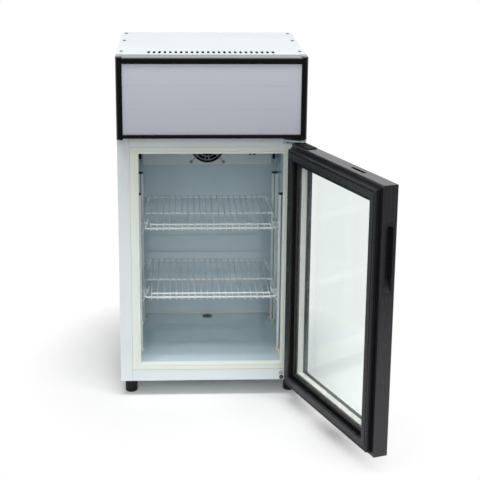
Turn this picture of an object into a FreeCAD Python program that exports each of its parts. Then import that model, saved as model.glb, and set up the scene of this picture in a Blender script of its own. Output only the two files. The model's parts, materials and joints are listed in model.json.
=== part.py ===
"""Glass door bar fridge with a lit header: a counter-height cooler with its cooling unit on top.

Millimetres. +X is the right side, +Y the back, +Z up. The origin lies on the floor under the middle of
the cabinet. The door is modelled closed and then turned open about its hinge.
"""
import FreeCAD
import Part
import math
import os

V = FreeCAD.Vector
ALONG_X = V(1, 0, 0)
ALONG_Y = V(0, 1, 0)
ALONG_Z = V(0, 0, 1)

# Cabinet
cabinet_width = 430.0
cabinet_depth = 420.0
cabinet_height = 822.0
header_height = 182.0
foot_height = 40.0
sheet = 1.0
side_wall = 37.0
floor_wall = 36.0
roof_wall = 34.0
back_wall = 37.0
liner_wall = 1.2
strip_width = 27.5
strip_return = 20.0
rear_flange = 15.0
top_flange = 24.0
fit_gap = 0.3
hole_gap = 0.1
edge_break = 1.0
cut_over = 1.0
arc_margin = 0.001

# Trim round the opening
trim_side = 20.8
trim_end = 16.3
trim_skin = 2.0
trim_depth = 14.0
trim_round = 2.5

# Feet and drain
foot_radius = 14.6
foot_waist = 13.0
foot_pad_radius = 15.5
foot_pad_height = 9.0
foot_pad_slope = 2.0
foot_inset_x = 23.0
foot_inset_y = 39.5
drain_from_back = 25.0
drain_radius = 8.0
drain_wall = 2.0
drain_rim = 5.0
drain_rim_height = 1.5
drain_drop = 9.0

# Shelf pilasters, clips and shelves
pilaster_depth = 13.0
pilaster_width = 16.0
pilaster_skin = 1.5
pilaster_lift = 2.0
pilaster_height = 396.0
pilaster_front_y = 106.0
pilaster_back_gap = 53.0
pilaster_groove_width = 2.0
pilaster_groove_depth = 0.7
cap_height = 4.0
slot_pitch = 34.2
slot_height = 9.0
slot_width = 3.2
shelf_floor_gap = 161.0
shelf_spacing_slots = 5
clip_skin = 1.5
clip_width = 13.0
clip_tongue = 11.5
clip_tongue_thickness = 2.0
clip_plate_height = 22.0
clip_gusset = 13.0
clip_hook = 3.0
shelf_wire_radius = 2.5
bar_wire_radius = 1.4
lip_wire_radius = 2.0
weld_sink = 0.4
shelf_side_gap = 2.5
shelf_front_y = 42.0
shelf_back_gap = 43.0
shelf_mid_y = 180.0
shelf_corner = 12.0
shelf_bar_count = 20
shelf_bar_edge = 17.0
shelf_bar_overhang = 4.0
shelf_lip_height = 6.0

# Air circulation inside the compartment
cover_side_gap = 12.0
cover_depth = 12.0
cover_skin = 1.5
cover_height = 117.0
cover_roof_gap = 2.0
air_slot_width = 5.0
air_slot_wall_gap = 2.0
air_slot_height = 90.0
air_slot_roof_gap = 6.0
air_slot_depth = 12.0
pocket_side_gap = 28.0
pocket_depth = 23.0
pocket_height = 111.0
pocket_roof_gap = 6.0
fan_size = 92.0
fan_depth = 25.0
fan_bore = 44.0
fan_hub = 19.0
fan_hole_pitch = 82.5
fan_blades = 7
fan_chord = 22.0
fan_roof_gap = 70.0
fan_plate = 3.0
fan_spindle = 2.0
fan_spindle_cover = 2.0
fan_corner = 5.0
fan_tip_gap = 1.2
fan_hub_gap = 0.5
blade_thickness = 1.6
blade_pitch = 32.0
blade_root_edge = 4.0
blade_sink = 1.0
guard_wire = 1.1
guard_rings = 4
guard_ring_pitch = 9.0
guard_eye = 4.0
guard_leg_start = 6.3
guard_ring_sides = 24
sensor_from_edge = 50.0
sensor_width = 16.0
sensor_depth = 6.0
sensor_height = 40.0
sensor_lift = 26.0
evaporator_margin = 5.0
evaporator_sheet = 1.5
evaporator_tube = 3.5
evaporator_runs = 6
evaporator_end_gap = 15.0

# Header
header_reach = 44.0
header_inset = 1.0
header_wall = 3.0
header_cap = 2.0
header_wrap = 10.0
post_width = 14.5
post_drop = 2.5
post_round = 8.0
top_rail_height = 14.0
bottom_rail_height = 9.5
rail_round = 2.5
diffuser_thickness = 3.0
diffuser_side_gap = 2.0
lamp_height = 16.0
lamp_depth = 9.0
lamp_end_gap = 14.5
lamp_round = 5.0
lamp_spacing = 80.0

# Top cover and rear grille
vent_count = 24
vent_pitch = 12.3
vent_width = 6.0
vent_length = 36.0
vent_y = 54.7
cover_lip = 20.0
screw_inset = 11.0
screw_front_y = 63.6
screw_middle_y = 253.5
screw_back_gap = 31.0
screw_head_radius = 4.0
screw_head_height = 2.2
screw_head_taper = 0.65
screw_head_sides = 8
louvre_count = 9
louvre_pitch = 14.0
louvre_length = 200.0
louvre_width = 6.0
louvre_x = -40.0
louvre_lift = 38.0

# Cooling unit on the deck
compressor_wall_gap = 19.0
compressor_y = 40.0
compressor_radius = 62.0
compressor_height = 127.0
compressor_round = 26.0
compressor_foot_x = 80.0
compressor_foot_y = 40.0
compressor_foot_margin = 15.0
compressor_foot_corner = 14.0
compressor_plate = 3.0
mount_height = 14.0
mount_radius = 11.0
relay_boss_radius = 18.0
relay_boss_reach = 4.0
relay_depth = 28.0
relay_width = 42.0
relay_height = 55.0
relay_round = 4.0
condenser_y = -102.0
condenser_depth = 30.0
condenser_height = 150.0
condenser_lift = 6.0
condenser_header = 7.0
condenser_tubes = 4
condenser_tube_height = 3.0
fin_folds = 7
fin_sheet = 0.8
fin_end_gap = 2.0
blower_size = 140.0
blower_depth = 36.0
blower_pipe_gap = 10.0
blower_bore = 65.0
blower_hub = 26.0
blower_blades = 5
blower_chord = 40.0
pipe_radius = 3.5
discharge_radius = 3.0
capillary_radius = 1.5
pipe_bend = 18.0
pipe_stub = 10.0
pipe_stub_wall = 1.0
chase_gap = 1.0
discharge_run = 22.0
suction_height = 80.0
discharge_height = 119.0
liquid_height = 39.0
drier_radius = 9.5
drier_length = 70.0
drier_line_gap = 44.5

# Controls on the rear grille
thermostat_from_side = 50.0
thermostat_lift = 84.0
thermostat_width = 50.0
thermostat_depth = 36.0
thermostat_height = 40.0
shaft_radius = 3.0
shaft_length = 9.0
knob_radius = 17.0
knob_height = 10.5
knob_rib = 3.0
knob_skirt = 4.2
knob_grip_radius = 11.9
switch_from_side = 50.0
switch_lift = 136.0
switch_width = 22.0
switch_height = 30.0
switch_depth = 18.0
switch_bezel = 2.0
rocker_width = 17.6
rocker_height = 25.6
rocker_gap = 0.4
rocker_tilt = 10.0
rocker_rise = 1.5
rocker_room = 2.0
gland_from_side = 45.0
gland_lift = 24.0
gland_radius = 9.0
gland_flange = 13.0
gland_bore = 4.2
gland_reach = 8.0
gland_thread = 6.0

# Door
door_side_gap = 0.5
door_floor_gap = 1.0
door_top_gap = 13.0
door_thickness = 33.5
door_face = 42.0
door_wall = 2.0
door_round = 2.0
glass_thickness = 4.0
glass_gap = 16.0
glass_cover = 12.0
outer_lip = 7.5
pocket_wall = 2.0
spacer_edge = 4.0
spacer_width = 10.5
spacer_skin = 0.6
gasket_inset = 10.0
gasket_width = 22.0
gasket_notch = 2.5
gasket_seal_gap = 0.3
door_slot_length = 60.0
door_slot_width = 8.0
door_slot_place = 290.0
door_open = 110.0

# Handle insert in the free edge of the door
handle_drop = 154.0
handle_length = 153.0
handle_width = 22.0
handle_flange = 0.8
handle_corner = 3.0
grip_length = 140.0
grip_width = 16.0
grip_depth = 17.0
grip_skin = 1.5
grip_slope = 22.0
grip_low_round = 6.0
grip_high_round = 4.0

# Hinge
hinge_inset_x = 8.5
hinge_inset_y = 10.0
pin_radius = 4.0
pin_gap = 0.06
bush_wall = 2.2
bush_length = 22.0
bracket_sheet = 3.0
bracket_length = 50.0
bracket_leg = 15.0
bracket_round = 8.0
bracket_nose_round = 7.0
bracket_corner = 4.0
pin_end_gap = 2.0
rivet_margin = 1.5
rivet_height = 1.2
block_plate = 2.0
block_length = 70.0
block_margin = 4.0
block_corner = 4.0
block_end_corner = 6.0
block_gap = 1.8
lower_bracket_width = 36.0
lower_bracket_reach = 22.0
lower_flange = 0.6
lower_flange_radius = 8.0
hinge_screw_radius = 4.5
hinge_screw_height = 2.5
hinge_screw_pitch = 24.0
upper_screw_shift = 4.0
upper_screw_drop = 5.5
lower_screw_edge = 8.0
lower_screw_pitch = 16.0
strip_screw_inset = 18.5
strip_screw_lift = 17.0
strip_screw_radius = 5.5
strip_screw_proud = 0.2
strip_screw_shank = 2.4
strip_screw_length = 7.0

SIDES = ("left", "right", "bottom", "top")

# Places worked out from the sizes above
half_width = cabinet_width / 2
front = -cabinet_depth / 2
back = cabinet_depth / 2
base_z = foot_height
deck_z = cabinet_height - header_height
deck_top = deck_z + sheet
side_top = cabinet_height - header_cap
in_x = half_width - side_wall
in_floor = base_z + floor_wall
in_roof = deck_z - roof_wall
in_back = back - back_wall
trim_x = half_width - strip_width
trim_low = base_z + strip_width
trim_high = deck_z - strip_width
header_front = front - header_reach
header_half = half_width - header_inset
header_low = deck_z - post_drop
rail_half = header_half - post_width
rear_skin = back - 2 * sheet
grille_top = side_top - sheet - fit_gap
drain_y = in_back - drain_from_back
pocket_half = in_x - pocket_side_gap
pocket_high = in_roof - pocket_roof_gap
pocket_low = pocket_high - pocket_height
pocket_back = in_back + pocket_depth
cover_half = in_x - cover_side_gap
cover_front = in_back - cover_depth
cover_high = in_roof - cover_roof_gap
cover_low = cover_high - cover_height
fan_z = in_roof - fan_roof_gap
fan_front = cover_front + cover_skin
tube_end_x = pocket_half - evaporator_margin - evaporator_end_gap
evaporator_run_pitch = 2 * tube_end_x / (evaporator_runs - 1)
tube_y = pocket_back - evaporator_sheet
drier_rear_y = tube_y - drier_line_gap
plate_high = pocket_high - evaporator_margin
plate_low = pocket_low + evaporator_margin
lower_shelf_z = in_floor + shelf_floor_gap
upper_shelf_z = lower_shelf_z + slot_pitch * shelf_spacing_slots
pilaster_x = in_x - pilaster_depth
pilaster_low = in_floor + pilaster_lift
pilaster_high = pilaster_low + pilaster_height
clip_x = pilaster_x - clip_skin
clip_drop = shelf_wire_radius + fit_gap
hook_drop = clip_drop + clip_tongue_thickness + clip_hook
shelf_half = clip_x - shelf_side_gap - shelf_wire_radius
shelf_bar_pitch = 2 * (shelf_half - shelf_bar_edge) / (shelf_bar_count - 1)
compressor_x = compressor_foot_x + compressor_foot_margin + compressor_wall_gap + sheet - half_width
discharge_x = compressor_x + compressor_radius / 2
condenser_left = discharge_x + discharge_run + pipe_stub + condenser_header
condenser_right = tube_end_x
door_x1 = half_width - door_side_gap
door_x0 = -door_x1
door_bottom = base_z + door_floor_gap
door_top = deck_z - door_top_gap
frame_out = header_front
frame_in = frame_out + door_thickness
glass_out = frame_out + outer_lip
glass_in = glass_out + 2 * glass_thickness + glass_gap
pane_inset = door_face - glass_cover
hinge_x = door_x1 - hinge_inset_x
hinge_y = frame_out + hinge_inset_y
block_top = door_top + block_plate
bracket_low = block_top + block_gap
bush_radius = pin_radius + pin_gap + bush_wall


def box(x0, x1, y0, y1, z0, z1):
    """A block between two values on each axis."""
    return Part.makeBox(x1 - x0, y1 - y0, z1 - z0, V(x0, y0, z0))


def rod(radius, start, end):
    """A round bar between two points."""
    line = end - start
    return Part.makeCylinder(radius, line.Length, start, line)


def fuse(shapes):
    """One solid from pieces that meet."""
    return shapes[0].multiFuse(shapes[1:]).removeSplitter()


def mirrored(shape):
    """The same piece on the other side of the cabinet."""
    return shape.mirror(V(0, 0, 0), ALONG_X)


def rounded_wire(points, radii, closed):
    """Straight runs between points, with a tangent arc at each corner that has a radius."""
    count = len(points)
    entries, exits, arcs = [], [], []
    for i, here in enumerate(points):
        is_end = not closed and i in (0, count - 1)
        if is_end or radii[i] == 0:
            entries.append(here)
            exits.append(here)
            arcs.append(None)
            continue
        to_here = (here - points[i - 1]).normalize()
        from_here = (points[(i + 1) % count] - here).normalize()
        turn = to_here.getAngle(from_here)
        setback = radii[i] * math.tan(turn / 2)
        inward = (from_here - to_here).normalize()
        middle = here + inward * (radii[i] / math.cos(turn / 2) - radii[i])
        entries.append(here - to_here * setback)
        exits.append(here + from_here * setback)
        arcs.append(Part.Arc(entries[-1], middle, exits[-1]).toShape())
    edges = []
    for i in range(count):
        if arcs[i]:
            edges.append(arcs[i])
        after = (i + 1) % count
        if closed or after:
            edges.append(Part.LineSegment(exits[i], entries[after]).toShape())
    return Part.Wire(edges)


def prism(points, direction, radii=None):
    """A flat outline, with rounded corners where radii are given, pushed along a direction."""
    wire = rounded_wire(points, radii or [0] * len(points), True)
    return Part.Face(wire).extrude(direction)


def slot(centre, along, across, length, width, depth):
    """A slot with round ends, pushed along depth."""
    reach = along * (length / 2)
    side = across * (width / 2)
    corners = [centre - reach - side, centre + reach - side, centre + reach + side, centre - reach + side]
    return prism(corners, depth, [width / 2 - arc_margin] * 4)


def polygon(centre, along, across, radius, sides):
    """A closed wire of equal sides round a centre."""
    angles = [2 * math.pi * i / sides for i in range(sides)]
    ring = [centre + along * (radius * math.cos(a)) + across * (radius * math.sin(a)) for a in angles]
    return Part.makePolygon(ring + ring[:1])


def wire_bar(points, radius, radii=None, closed=False):
    """A wire that starts level, six-sided in section with a flat above and below."""
    path = rounded_wire(points, radii or [0] * len(points), closed)
    side = (points[1] - points[0]).normalize().cross(ALONG_Z)
    section = polygon(points[0], side, ALONG_Z, radius / math.cos(math.pi / 6), 6)
    return path.makePipeShell([section], True, False, 1)


def frame_side(side, area, profile, mitre, hole=None):
    """One mitred bar of a frame in the XZ plane.

    area is (left, right, low, high). A profile point is (distance in from the outer edge, y, corner radius).
    mitre is how far the corner's joint line runs inwards along x and z.
    """
    x0, x1, low, high = area
    mx, mz = mitre
    places = {
        "left": lambda u, y: V(x0 + u, y, low),
        "right": lambda u, y: V(x1 - u, y, low),
        "bottom": lambda u, y: V(x0, y, low + u),
        "top": lambda u, y: V(x0, y, high - u),
    }
    wedges = {
        "left": ((x0, low), (x0, high), (x0 + mx, high - mz), (x0 + mx, low + mz)),
        "right": ((x1, low), (x1, high), (x1 - mx, high - mz), (x1 - mx, low + mz)),
        "bottom": ((x0, low), (x1, low), (x1 - mx, low + mz), (x0 + mx, low + mz)),
        "top": ((x0, high), (x1, high), (x1 - mx, high - mz), (x0 + mx, high - mz)),
    }
    place = places[side]
    run = V(x1 - x0, 0, 0) if side in ("bottom", "top") else V(0, 0, high - low)
    bar = prism([place(u, y) for u, y, _ in profile], run, [r for _, _, r in profile])
    if hole:
        bar = bar.cut(prism([place(u, y) for u, y in hole], run))
    near = min(y for _, y, _ in profile) - cut_over
    far = max(y for _, y, _ in profile) + cut_over
    wedge = prism([V(x, near, z) for x, z in wedges[side]], V(0, far - near, 0))
    return bar.common(wedge)


def side_panel_left():
    """Outer sheet with its folded front strip, rear flange and top flange."""
    edge = -half_width
    plan = [
        (edge, front), (-trim_x, front), (-trim_x, front + sheet), (edge + sheet, front + sheet),
        (edge + sheet, back - sheet), (edge + rear_flange, back - sheet), (edge + rear_flange, back),
        (edge, back),
    ]
    skin = prism([V(x, y, base_z) for x, y in plan], V(0, 0, side_top - base_z))
    flange = box(edge, edge + top_flange, front, back - sheet, side_top - sheet, side_top)
    return fuse([skin, flange])


def screw_places():
    """The six screws of the top cover."""
    rows = (front + screw_front_y, front + screw_middle_y, back - screw_back_gap)
    return [(s * (half_width - screw_inset), y) for s in (-1, 1) for y in rows]


def foot_places():
    """The four feet."""
    x = half_width - foot_inset_x
    return [(sx * x, y) for sx in (-1, 1) for y in (front + foot_inset_y, back - foot_inset_y)]


def drain_hole():
    """The straight hole that the drain spout passes through."""
    return rod(drain_radius + hole_gap, V(0, drain_y, 0), V(0, drain_y, in_floor + liner_wall))


def strip_screw_seat():
    """Centre of the flat screw in the bottom strip, on the front plane."""
    return V(trim_x - strip_screw_inset, front, base_z + strip_screw_lift)


def strip_screw_hole(radius):
    """Hole for the flat screw in the bottom strip."""
    seat = strip_screw_seat()
    return rod(radius + hole_gap, seat, seat + ALONG_Y * (strip_screw_length + fit_gap))


def base_panel():
    """Bottom sheet with the strip that folds up below the opening."""
    edge = half_width - sheet
    floor = box(-edge, edge, front + sheet, back - sheet, base_z, base_z + sheet)
    lip = box(-trim_x, trim_x, front, front + sheet, base_z, trim_low)
    return fuse([floor, lip]).cut(drain_hole()).cut(strip_screw_hole(strip_screw_radius))


def front_top_strip():
    """Steel strip above the opening, folded back over the foam."""
    face = box(-trim_x, trim_x, front, front + sheet, trim_high, deck_top)
    fold = box(-trim_x, trim_x, front, front + strip_return, deck_z, deck_top)
    return fuse([face, fold])


def rear_panel():
    """Plain sheet behind the foam."""
    edge = half_width - sheet
    return box(-edge, edge, rear_skin, rear_skin + sheet, base_z + sheet, deck_z)


def pipe_chase(x):
    """Passage for a pipe from the evaporator pocket up to the deck."""
    low, high = pocket_high - cut_over, deck_top + cut_over
    return rod(pipe_radius + chase_gap, V(x, pipe_line_y(), low), V(x, pipe_line_y(), high))


def pipe_line_y():
    """Depth at which both pipes leave the evaporator plate."""
    return tube_y - evaporator_tube


def air_slot(side):
    """Dark air slot in the rear wall beside the fan cover."""
    outer = in_x - air_slot_wall_gap
    high = in_roof - air_slot_roof_gap
    edges = sorted((side * outer, side * (outer - air_slot_width)))
    return box(*edges, in_back, in_back + air_slot_depth, high - air_slot_height, high)


def liner_space(skin):
    """The compartment with its evaporator pocket, grown by a skin."""
    room = box(
        -in_x - skin, in_x + skin, front + trim_skin, in_back + skin, in_floor - skin, in_roof + skin
    )
    wide = pocket_half + skin
    pocket = box(-wide, wide, in_back, pocket_back + skin, pocket_low - skin, pocket_high + skin)
    return fuse([room, pocket])


def inner_cuts():
    """Holes that pass through the liner and on into the foam."""
    return [drain_hole(), air_slot(-1), air_slot(1), pipe_chase(-tube_end_x), pipe_chase(tube_end_x)]


def insulation_foam():
    """Foam that fills the walls, from the outer sheets to the liner."""
    edge = half_width - sheet
    shape = box(-edge, edge, front + sheet, rear_skin, base_z + sheet, deck_z)
    shape = shape.cut(box(-trim_x, trim_x, front, front + trim_skin, trim_low, trim_high))
    shape = shape.cut(liner_space(liner_wall))
    for hole in inner_cuts() + [strip_screw_hole(strip_screw_shank)]:
        shape = shape.cut(hole)
    return shape


def liner():
    """Thin compartment lining, open at the front."""
    shape = liner_space(liner_wall).cut(liner_space(0))
    for hole in inner_cuts():
        shape = shape.cut(hole)
    return shape


def trim_profile(width, lap):
    """Hollow trim section: a face plate and a lip that reaches into the compartment."""
    depth = front + trim_depth
    inner = width - trim_skin
    return [
        (0, front, 0), (width, front, trim_round), (width, depth, 0), (lap, depth, 0),
        (lap, depth - trim_skin, 0), (inner, depth - trim_skin, 0), (inner, front + trim_skin, 0),
        (0, front + trim_skin, 0),
    ]


def trim_bar(side):
    """One of the four mitred trim profiles."""
    area = (-trim_x, trim_x, trim_low, trim_high)
    widths = {"left": trim_side, "right": trim_side, "bottom": trim_end, "top": trim_end}
    slope = trim_side / trim_end
    side_lap = max(trim_x - in_x, (in_floor - trim_low) * slope, (trim_high - in_roof) * slope)
    floor_lap = max(in_floor - trim_low, (trim_x - in_x) / slope)
    roof_lap = max(trim_high - in_roof, (trim_x - in_x) / slope)
    laps = {"left": side_lap, "right": side_lap, "bottom": floor_lap, "top": roof_lap}
    return frame_side(side, area, trim_profile(widths[side], laps[side]), (trim_side, trim_end))


def drain_spout():
    """Drain with a rim on the compartment floor and a tail below the cabinet."""
    tail = V(0, drain_y, base_z - drain_drop)
    floor = V(0, drain_y, in_floor)
    rim_top = V(0, drain_y, in_floor + drain_rim_height)
    shape = fuse([rod(drain_radius, tail, floor), rod(drain_radius + drain_rim, floor, rim_top)])
    return shape.cut(rod(drain_radius - drain_wall, tail, rim_top))


def slot_heights():
    """Heights of the clip slots, set out from the lower shelf's clips."""
    clip_slot = lower_shelf_z - hook_drop
    below = math.floor((clip_slot - pilaster_low) / slot_pitch - 0.5)
    above = math.floor((pilaster_high - clip_slot) / slot_pitch - 0.5)
    return [clip_slot + slot_pitch * step for step in range(-below, above + 1)]


def pilaster_right(y):
    """Slotted channel on the right wall, open towards the wall."""
    near, far = y - pilaster_width / 2, y + pilaster_width / 2
    shape = box(pilaster_x, in_x, near, far, pilaster_low, pilaster_high)
    hollow = box(
        pilaster_x + pilaster_skin, in_x, near + pilaster_skin, far - pilaster_skin,
        pilaster_low, pilaster_high,
    )
    middle = (pilaster_x + in_x) / 2
    groove = box(
        middle - pilaster_groove_width / 2, middle + pilaster_groove_width / 2,
        near, near + pilaster_groove_depth, pilaster_low, pilaster_high,
    )
    slots = [
        box(pilaster_x, pilaster_x + pilaster_skin, y - slot_width / 2, y + slot_width / 2,
            z - slot_height / 2, z + slot_height / 2)
        for z in slot_heights()
    ]
    return shape.cut(hollow).cut(groove).cut(Part.makeCompound(slots))


def pilaster_rows():
    """Depths of the front and rear pilasters."""
    return front + pilaster_front_y, in_back - pilaster_back_gap


def both_sides(shapes):
    """A group of pieces and their mirror images."""
    return shapes + [mirrored(shape) for shape in shapes]


def shelf_pilasters():
    return both_sides([pilaster_right(y) for y in pilaster_rows()])


def pilaster_caps():
    """Black cap on the top of each pilaster."""
    reach = pilaster_width / 2
    caps = [
        box(pilaster_x, in_x, y - reach, y + reach, pilaster_high, pilaster_high + cap_height)
        for y in pilaster_rows()
    ]
    return both_sides(caps)


def shelf_clip_right(y, shelf_z):
    """Bent clip: plate on the pilaster, hook in its slot, tongue under the shelf and a gusset."""
    tongue_top = shelf_z - clip_drop
    tongue_low = tongue_top - clip_tongue_thickness
    tip = clip_x - clip_tongue
    half = clip_width / 2
    plate_low = tongue_top - clip_plate_height
    plate = box(clip_x, pilaster_x, y - half, y + half, plate_low, tongue_top)
    tongue = box(tip, clip_x, y - half, y + half, tongue_low, tongue_top)
    profile = [V(clip_x, y - clip_skin / 2, tongue_low), V(tip, y - clip_skin / 2, tongue_low),
               V(clip_x, y - clip_skin / 2, tongue_low - clip_gusset)]
    gusset = prism(profile, V(0, clip_skin, 0))
    hook_half = slot_width / 2 - hole_gap
    hook_z = shelf_z - hook_drop
    hook = box(
        pilaster_x, pilaster_x + pilaster_skin, y - hook_half, y + hook_half,
        hook_z - clip_hook / 2, hook_z + clip_hook / 2,
    )
    return fuse([plate, tongue, gusset, hook])


def shelf_clips():
    levels = (lower_shelf_z, upper_shelf_z)
    return both_sides([shelf_clip_right(y, z) for y in pilaster_rows() for z in levels])


def wire_shelf(level):
    """Welded wire shelf: a round-cornered frame, a middle bar, lengthwise wires and a raised front lip."""
    near, far = front + shelf_front_y, in_back - shelf_back_gap
    corners = [V(-shelf_half, near, level), V(shelf_half, near, level),
               V(shelf_half, far, level), V(-shelf_half, far, level)]
    middle_front = (corners[0] + corners[1]) * 0.5
    path = [middle_front, corners[1], corners[2], corners[3], corners[0]]
    radii = [0, shelf_corner, shelf_corner, shelf_corner, shelf_corner]
    mid_y = front + shelf_mid_y
    middle = [V(-shelf_half, mid_y, level), V(shelf_half, mid_y, level)]
    pieces = [wire_bar(path, shelf_wire_radius, radii, True), wire_bar(middle, shelf_wire_radius)]
    bar_z = level + shelf_wire_radius + bar_wire_radius
    lip_z = bar_z + shelf_lip_height
    lip_y = near - shelf_bar_overhang
    for i in range(shelf_bar_count):
        x = (i - (shelf_bar_count - 1) / 2) * shelf_bar_pitch
        route = [V(x, far + shelf_bar_overhang, bar_z), V(x, lip_y, bar_z), V(x, lip_y, lip_z)]
        pieces.append(wire_bar(route, bar_wire_radius))
    lip_half = shelf_half - shelf_bar_edge + bar_wire_radius
    behind = lip_y + bar_wire_radius + lip_wire_radius
    lip = [V(-lip_half, behind, lip_z), V(lip_half, behind, lip_z)]
    pieces.append(wire_bar(lip, lip_wire_radius))
    return fuse(pieces)


def fan_frame(size, depth, bore, hub):
    """Square fan housing with a motor plate on three struts and a spindle. Its front face is at y = 0."""
    half = size / 2
    outline = [V(-half, 0, -half), V(half, 0, -half), V(half, 0, half), V(-half, 0, half)]
    shell = prism(outline, V(0, depth, 0), [fan_corner] * 4)
    shell = shell.cut(rod(bore, V(0, 0, 0), V(0, depth, 0)))
    plate = rod(hub, V(0, depth - fan_plate, 0), V(0, depth, 0))
    spindle = rod(fan_spindle, V(0, fan_plate + fan_spindle_cover, 0), V(0, depth, 0))
    struts = []
    for angle in (90, 210, 330):
        strut = box(0, bore + cut_over, depth - fan_plate, depth, -fan_plate, fan_plate)
        strut.rotate(V(0, 0, 0), ALONG_Y, angle)
        struts.append(strut)
    return fuse([shell, plate, spindle] + struts)


def fan_blade(root, tip, root_chord, tip_chord):
    """Flat blade that widens towards its tip, set at the pitch angle about its own radius."""
    near = -blade_thickness / 2
    outline = [V(-root_chord / 2, near, root), V(root_chord / 2, near, root),
               V(tip_chord / 2, near, tip), V(-tip_chord / 2, near, tip)]
    blade = prism(outline, V(0, blade_thickness, 0))
    blade.rotate(V(0, 0, 0), ALONG_Z, blade_pitch)
    return blade


def fan_rotor(depth, bore, hub, blades, chord):
    """Hub that runs on the spindle, with a ring of pitched blades."""
    near, far = fan_plate, depth - fan_plate - fit_gap
    hub_radius = hub - fan_hub_gap
    lean = math.cos(math.radians(blade_pitch))
    root_half = min(chord / 2 * lean, hub_radius - blade_root_edge)
    root = math.sqrt(hub_radius ** 2 - root_half ** 2) - blade_sink
    tip = math.sqrt((bore - fan_tip_gap) ** 2 - (chord / 2 * lean) ** 2)
    pieces = [rod(hub_radius, V(0, near, 0), V(0, far, 0))]
    for i in range(blades):
        blade = fan_blade(root, tip, 2 * root_half / lean, chord)
        blade.translate(V(0, (near + far) / 2, 0))
        blade.rotate(V(0, 0, 0), ALONG_Y, 360 * i / blades)
        pieces.append(blade)
    bore_start = V(0, near + fan_spindle_cover, 0)
    return fuse(pieces).cut(rod(fan_spindle + pin_gap, bore_start, V(0, far, 0)))


def placed(shape, x, y, z):
    """A piece moved to its place."""
    shape.translate(V(x, y, z))
    return shape


def fan_cover():
    """Shallow tray on the rear wall that carries the fan."""
    outer = box(-cover_half, cover_half, cover_front, in_back, cover_low, cover_high)
    inner_x = cover_half - cover_skin
    inner = box(-inner_x, inner_x, fan_front, in_back, cover_low + cover_skin, cover_high)
    return outer.cut(inner).cut(rod(fan_bore, V(0, cover_front, fan_z), V(0, in_back, fan_z)))


def guard_ring(radius, y):
    """One ring of the finger guard, a polygon of short runs with a square section."""
    near = V(0, y - guard_wire, 0)
    discs = []
    for reach in (radius + guard_wire, radius - guard_wire):
        wire = polygon(near, ALONG_X, ALONG_Z, reach, guard_ring_sides)
        discs.append(Part.Face(wire).extrude(V(0, 2 * guard_wire, 0)))
    return discs[0].cut(discs[1])


def fan_guard():
    """Wire finger guard: rings on four diagonal legs that end in screw eyes on the cover."""
    leg_y = -guard_wire - hole_gap
    ring_y = leg_y - 2 * guard_wire
    reach = fan_hole_pitch / math.sqrt(2)
    pieces = [guard_ring(guard_ring_pitch * (i + 1), ring_y) for i in range(guard_rings)]
    for angle in (45, 135, 225, 315):
        near, far = leg_y - guard_wire, leg_y + guard_wire
        leg = box(guard_leg_start, reach, near, far, -guard_wire, guard_wire)
        eye = rod(guard_eye, V(reach, leg_y - guard_wire, 0), V(reach, 0, 0))
        foot = fuse([leg, eye])
        foot.rotate(V(0, 0, 0), ALONG_Y, angle)
        pieces.append(foot)
    return placed(fuse(pieces), 0, cover_front, fan_z)


def temperature_sensor():
    """Sensor holder on the front of the fan cover, open at both sides of its two legs."""
    low = cover_low + sensor_lift
    near = cover_front - sensor_depth
    middle = cover_half - sensor_from_edge
    left, right = middle - sensor_width / 2, middle + sensor_width / 2
    body = box(left, right, near, cover_front, low, low + sensor_height)
    leg = sensor_width / 3
    gap = box(left + leg, right - leg, near, cover_front, low, low + leg)
    return body.cut(gap)


def evaporator():
    """Plate in the rear pocket with a raised serpentine channel. Both ends leave at its top edge."""
    wide = pocket_half - evaporator_margin
    plate = box(-wide, wide, tube_y, pocket_back, plate_low, plate_high)
    turn_low = plate_low + evaporator_tube + evaporator_margin
    turn_high = plate_high - evaporator_tube - evaporator_margin
    points = [V(tube_end_x, tube_y, plate_high)]
    for i in range(evaporator_runs - 1):
        x = tube_end_x - evaporator_run_pitch * i
        turn = turn_high if i % 2 else turn_low
        points += [V(x, tube_y, turn), V(x - evaporator_run_pitch, tube_y, turn)]
    points.append(V(-tube_end_x, tube_y, plate_high))
    path = Part.makePolygon(points)
    base, crest = evaporator_tube, evaporator_tube / 2
    section = [(-base, weld_sink), (base, weld_sink), (base, 0), (crest, -evaporator_tube),
               (-crest, -evaporator_tube), (-base, 0)]
    ring = [points[0] + V(x, y, 0) for x, y in section]
    channel = path.makePipeShell([Part.makePolygon(ring + ring[:1])], True, False, 1)
    return fuse([plate, channel])


def foot_profile():
    """Radius and height pairs of a foot, from the floor up to the cabinet."""
    return [
        (0, 0), (foot_pad_radius, 0), (foot_pad_radius, foot_pad_height),
        (foot_waist, foot_pad_height + foot_pad_slope), (foot_radius, base_z), (0, base_z),
    ]


def feet():
    """Four turned feet under the bottom sheet."""
    points = [V(r, 0, z) for r, z in foot_profile()]
    solid = Part.Face(Part.makePolygon(points + points[:1])).revolve(V(0, 0, 0), ALONG_Z, 360)
    return [placed(solid.copy(), x, y, 0) for x, y in foot_places()]


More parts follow.
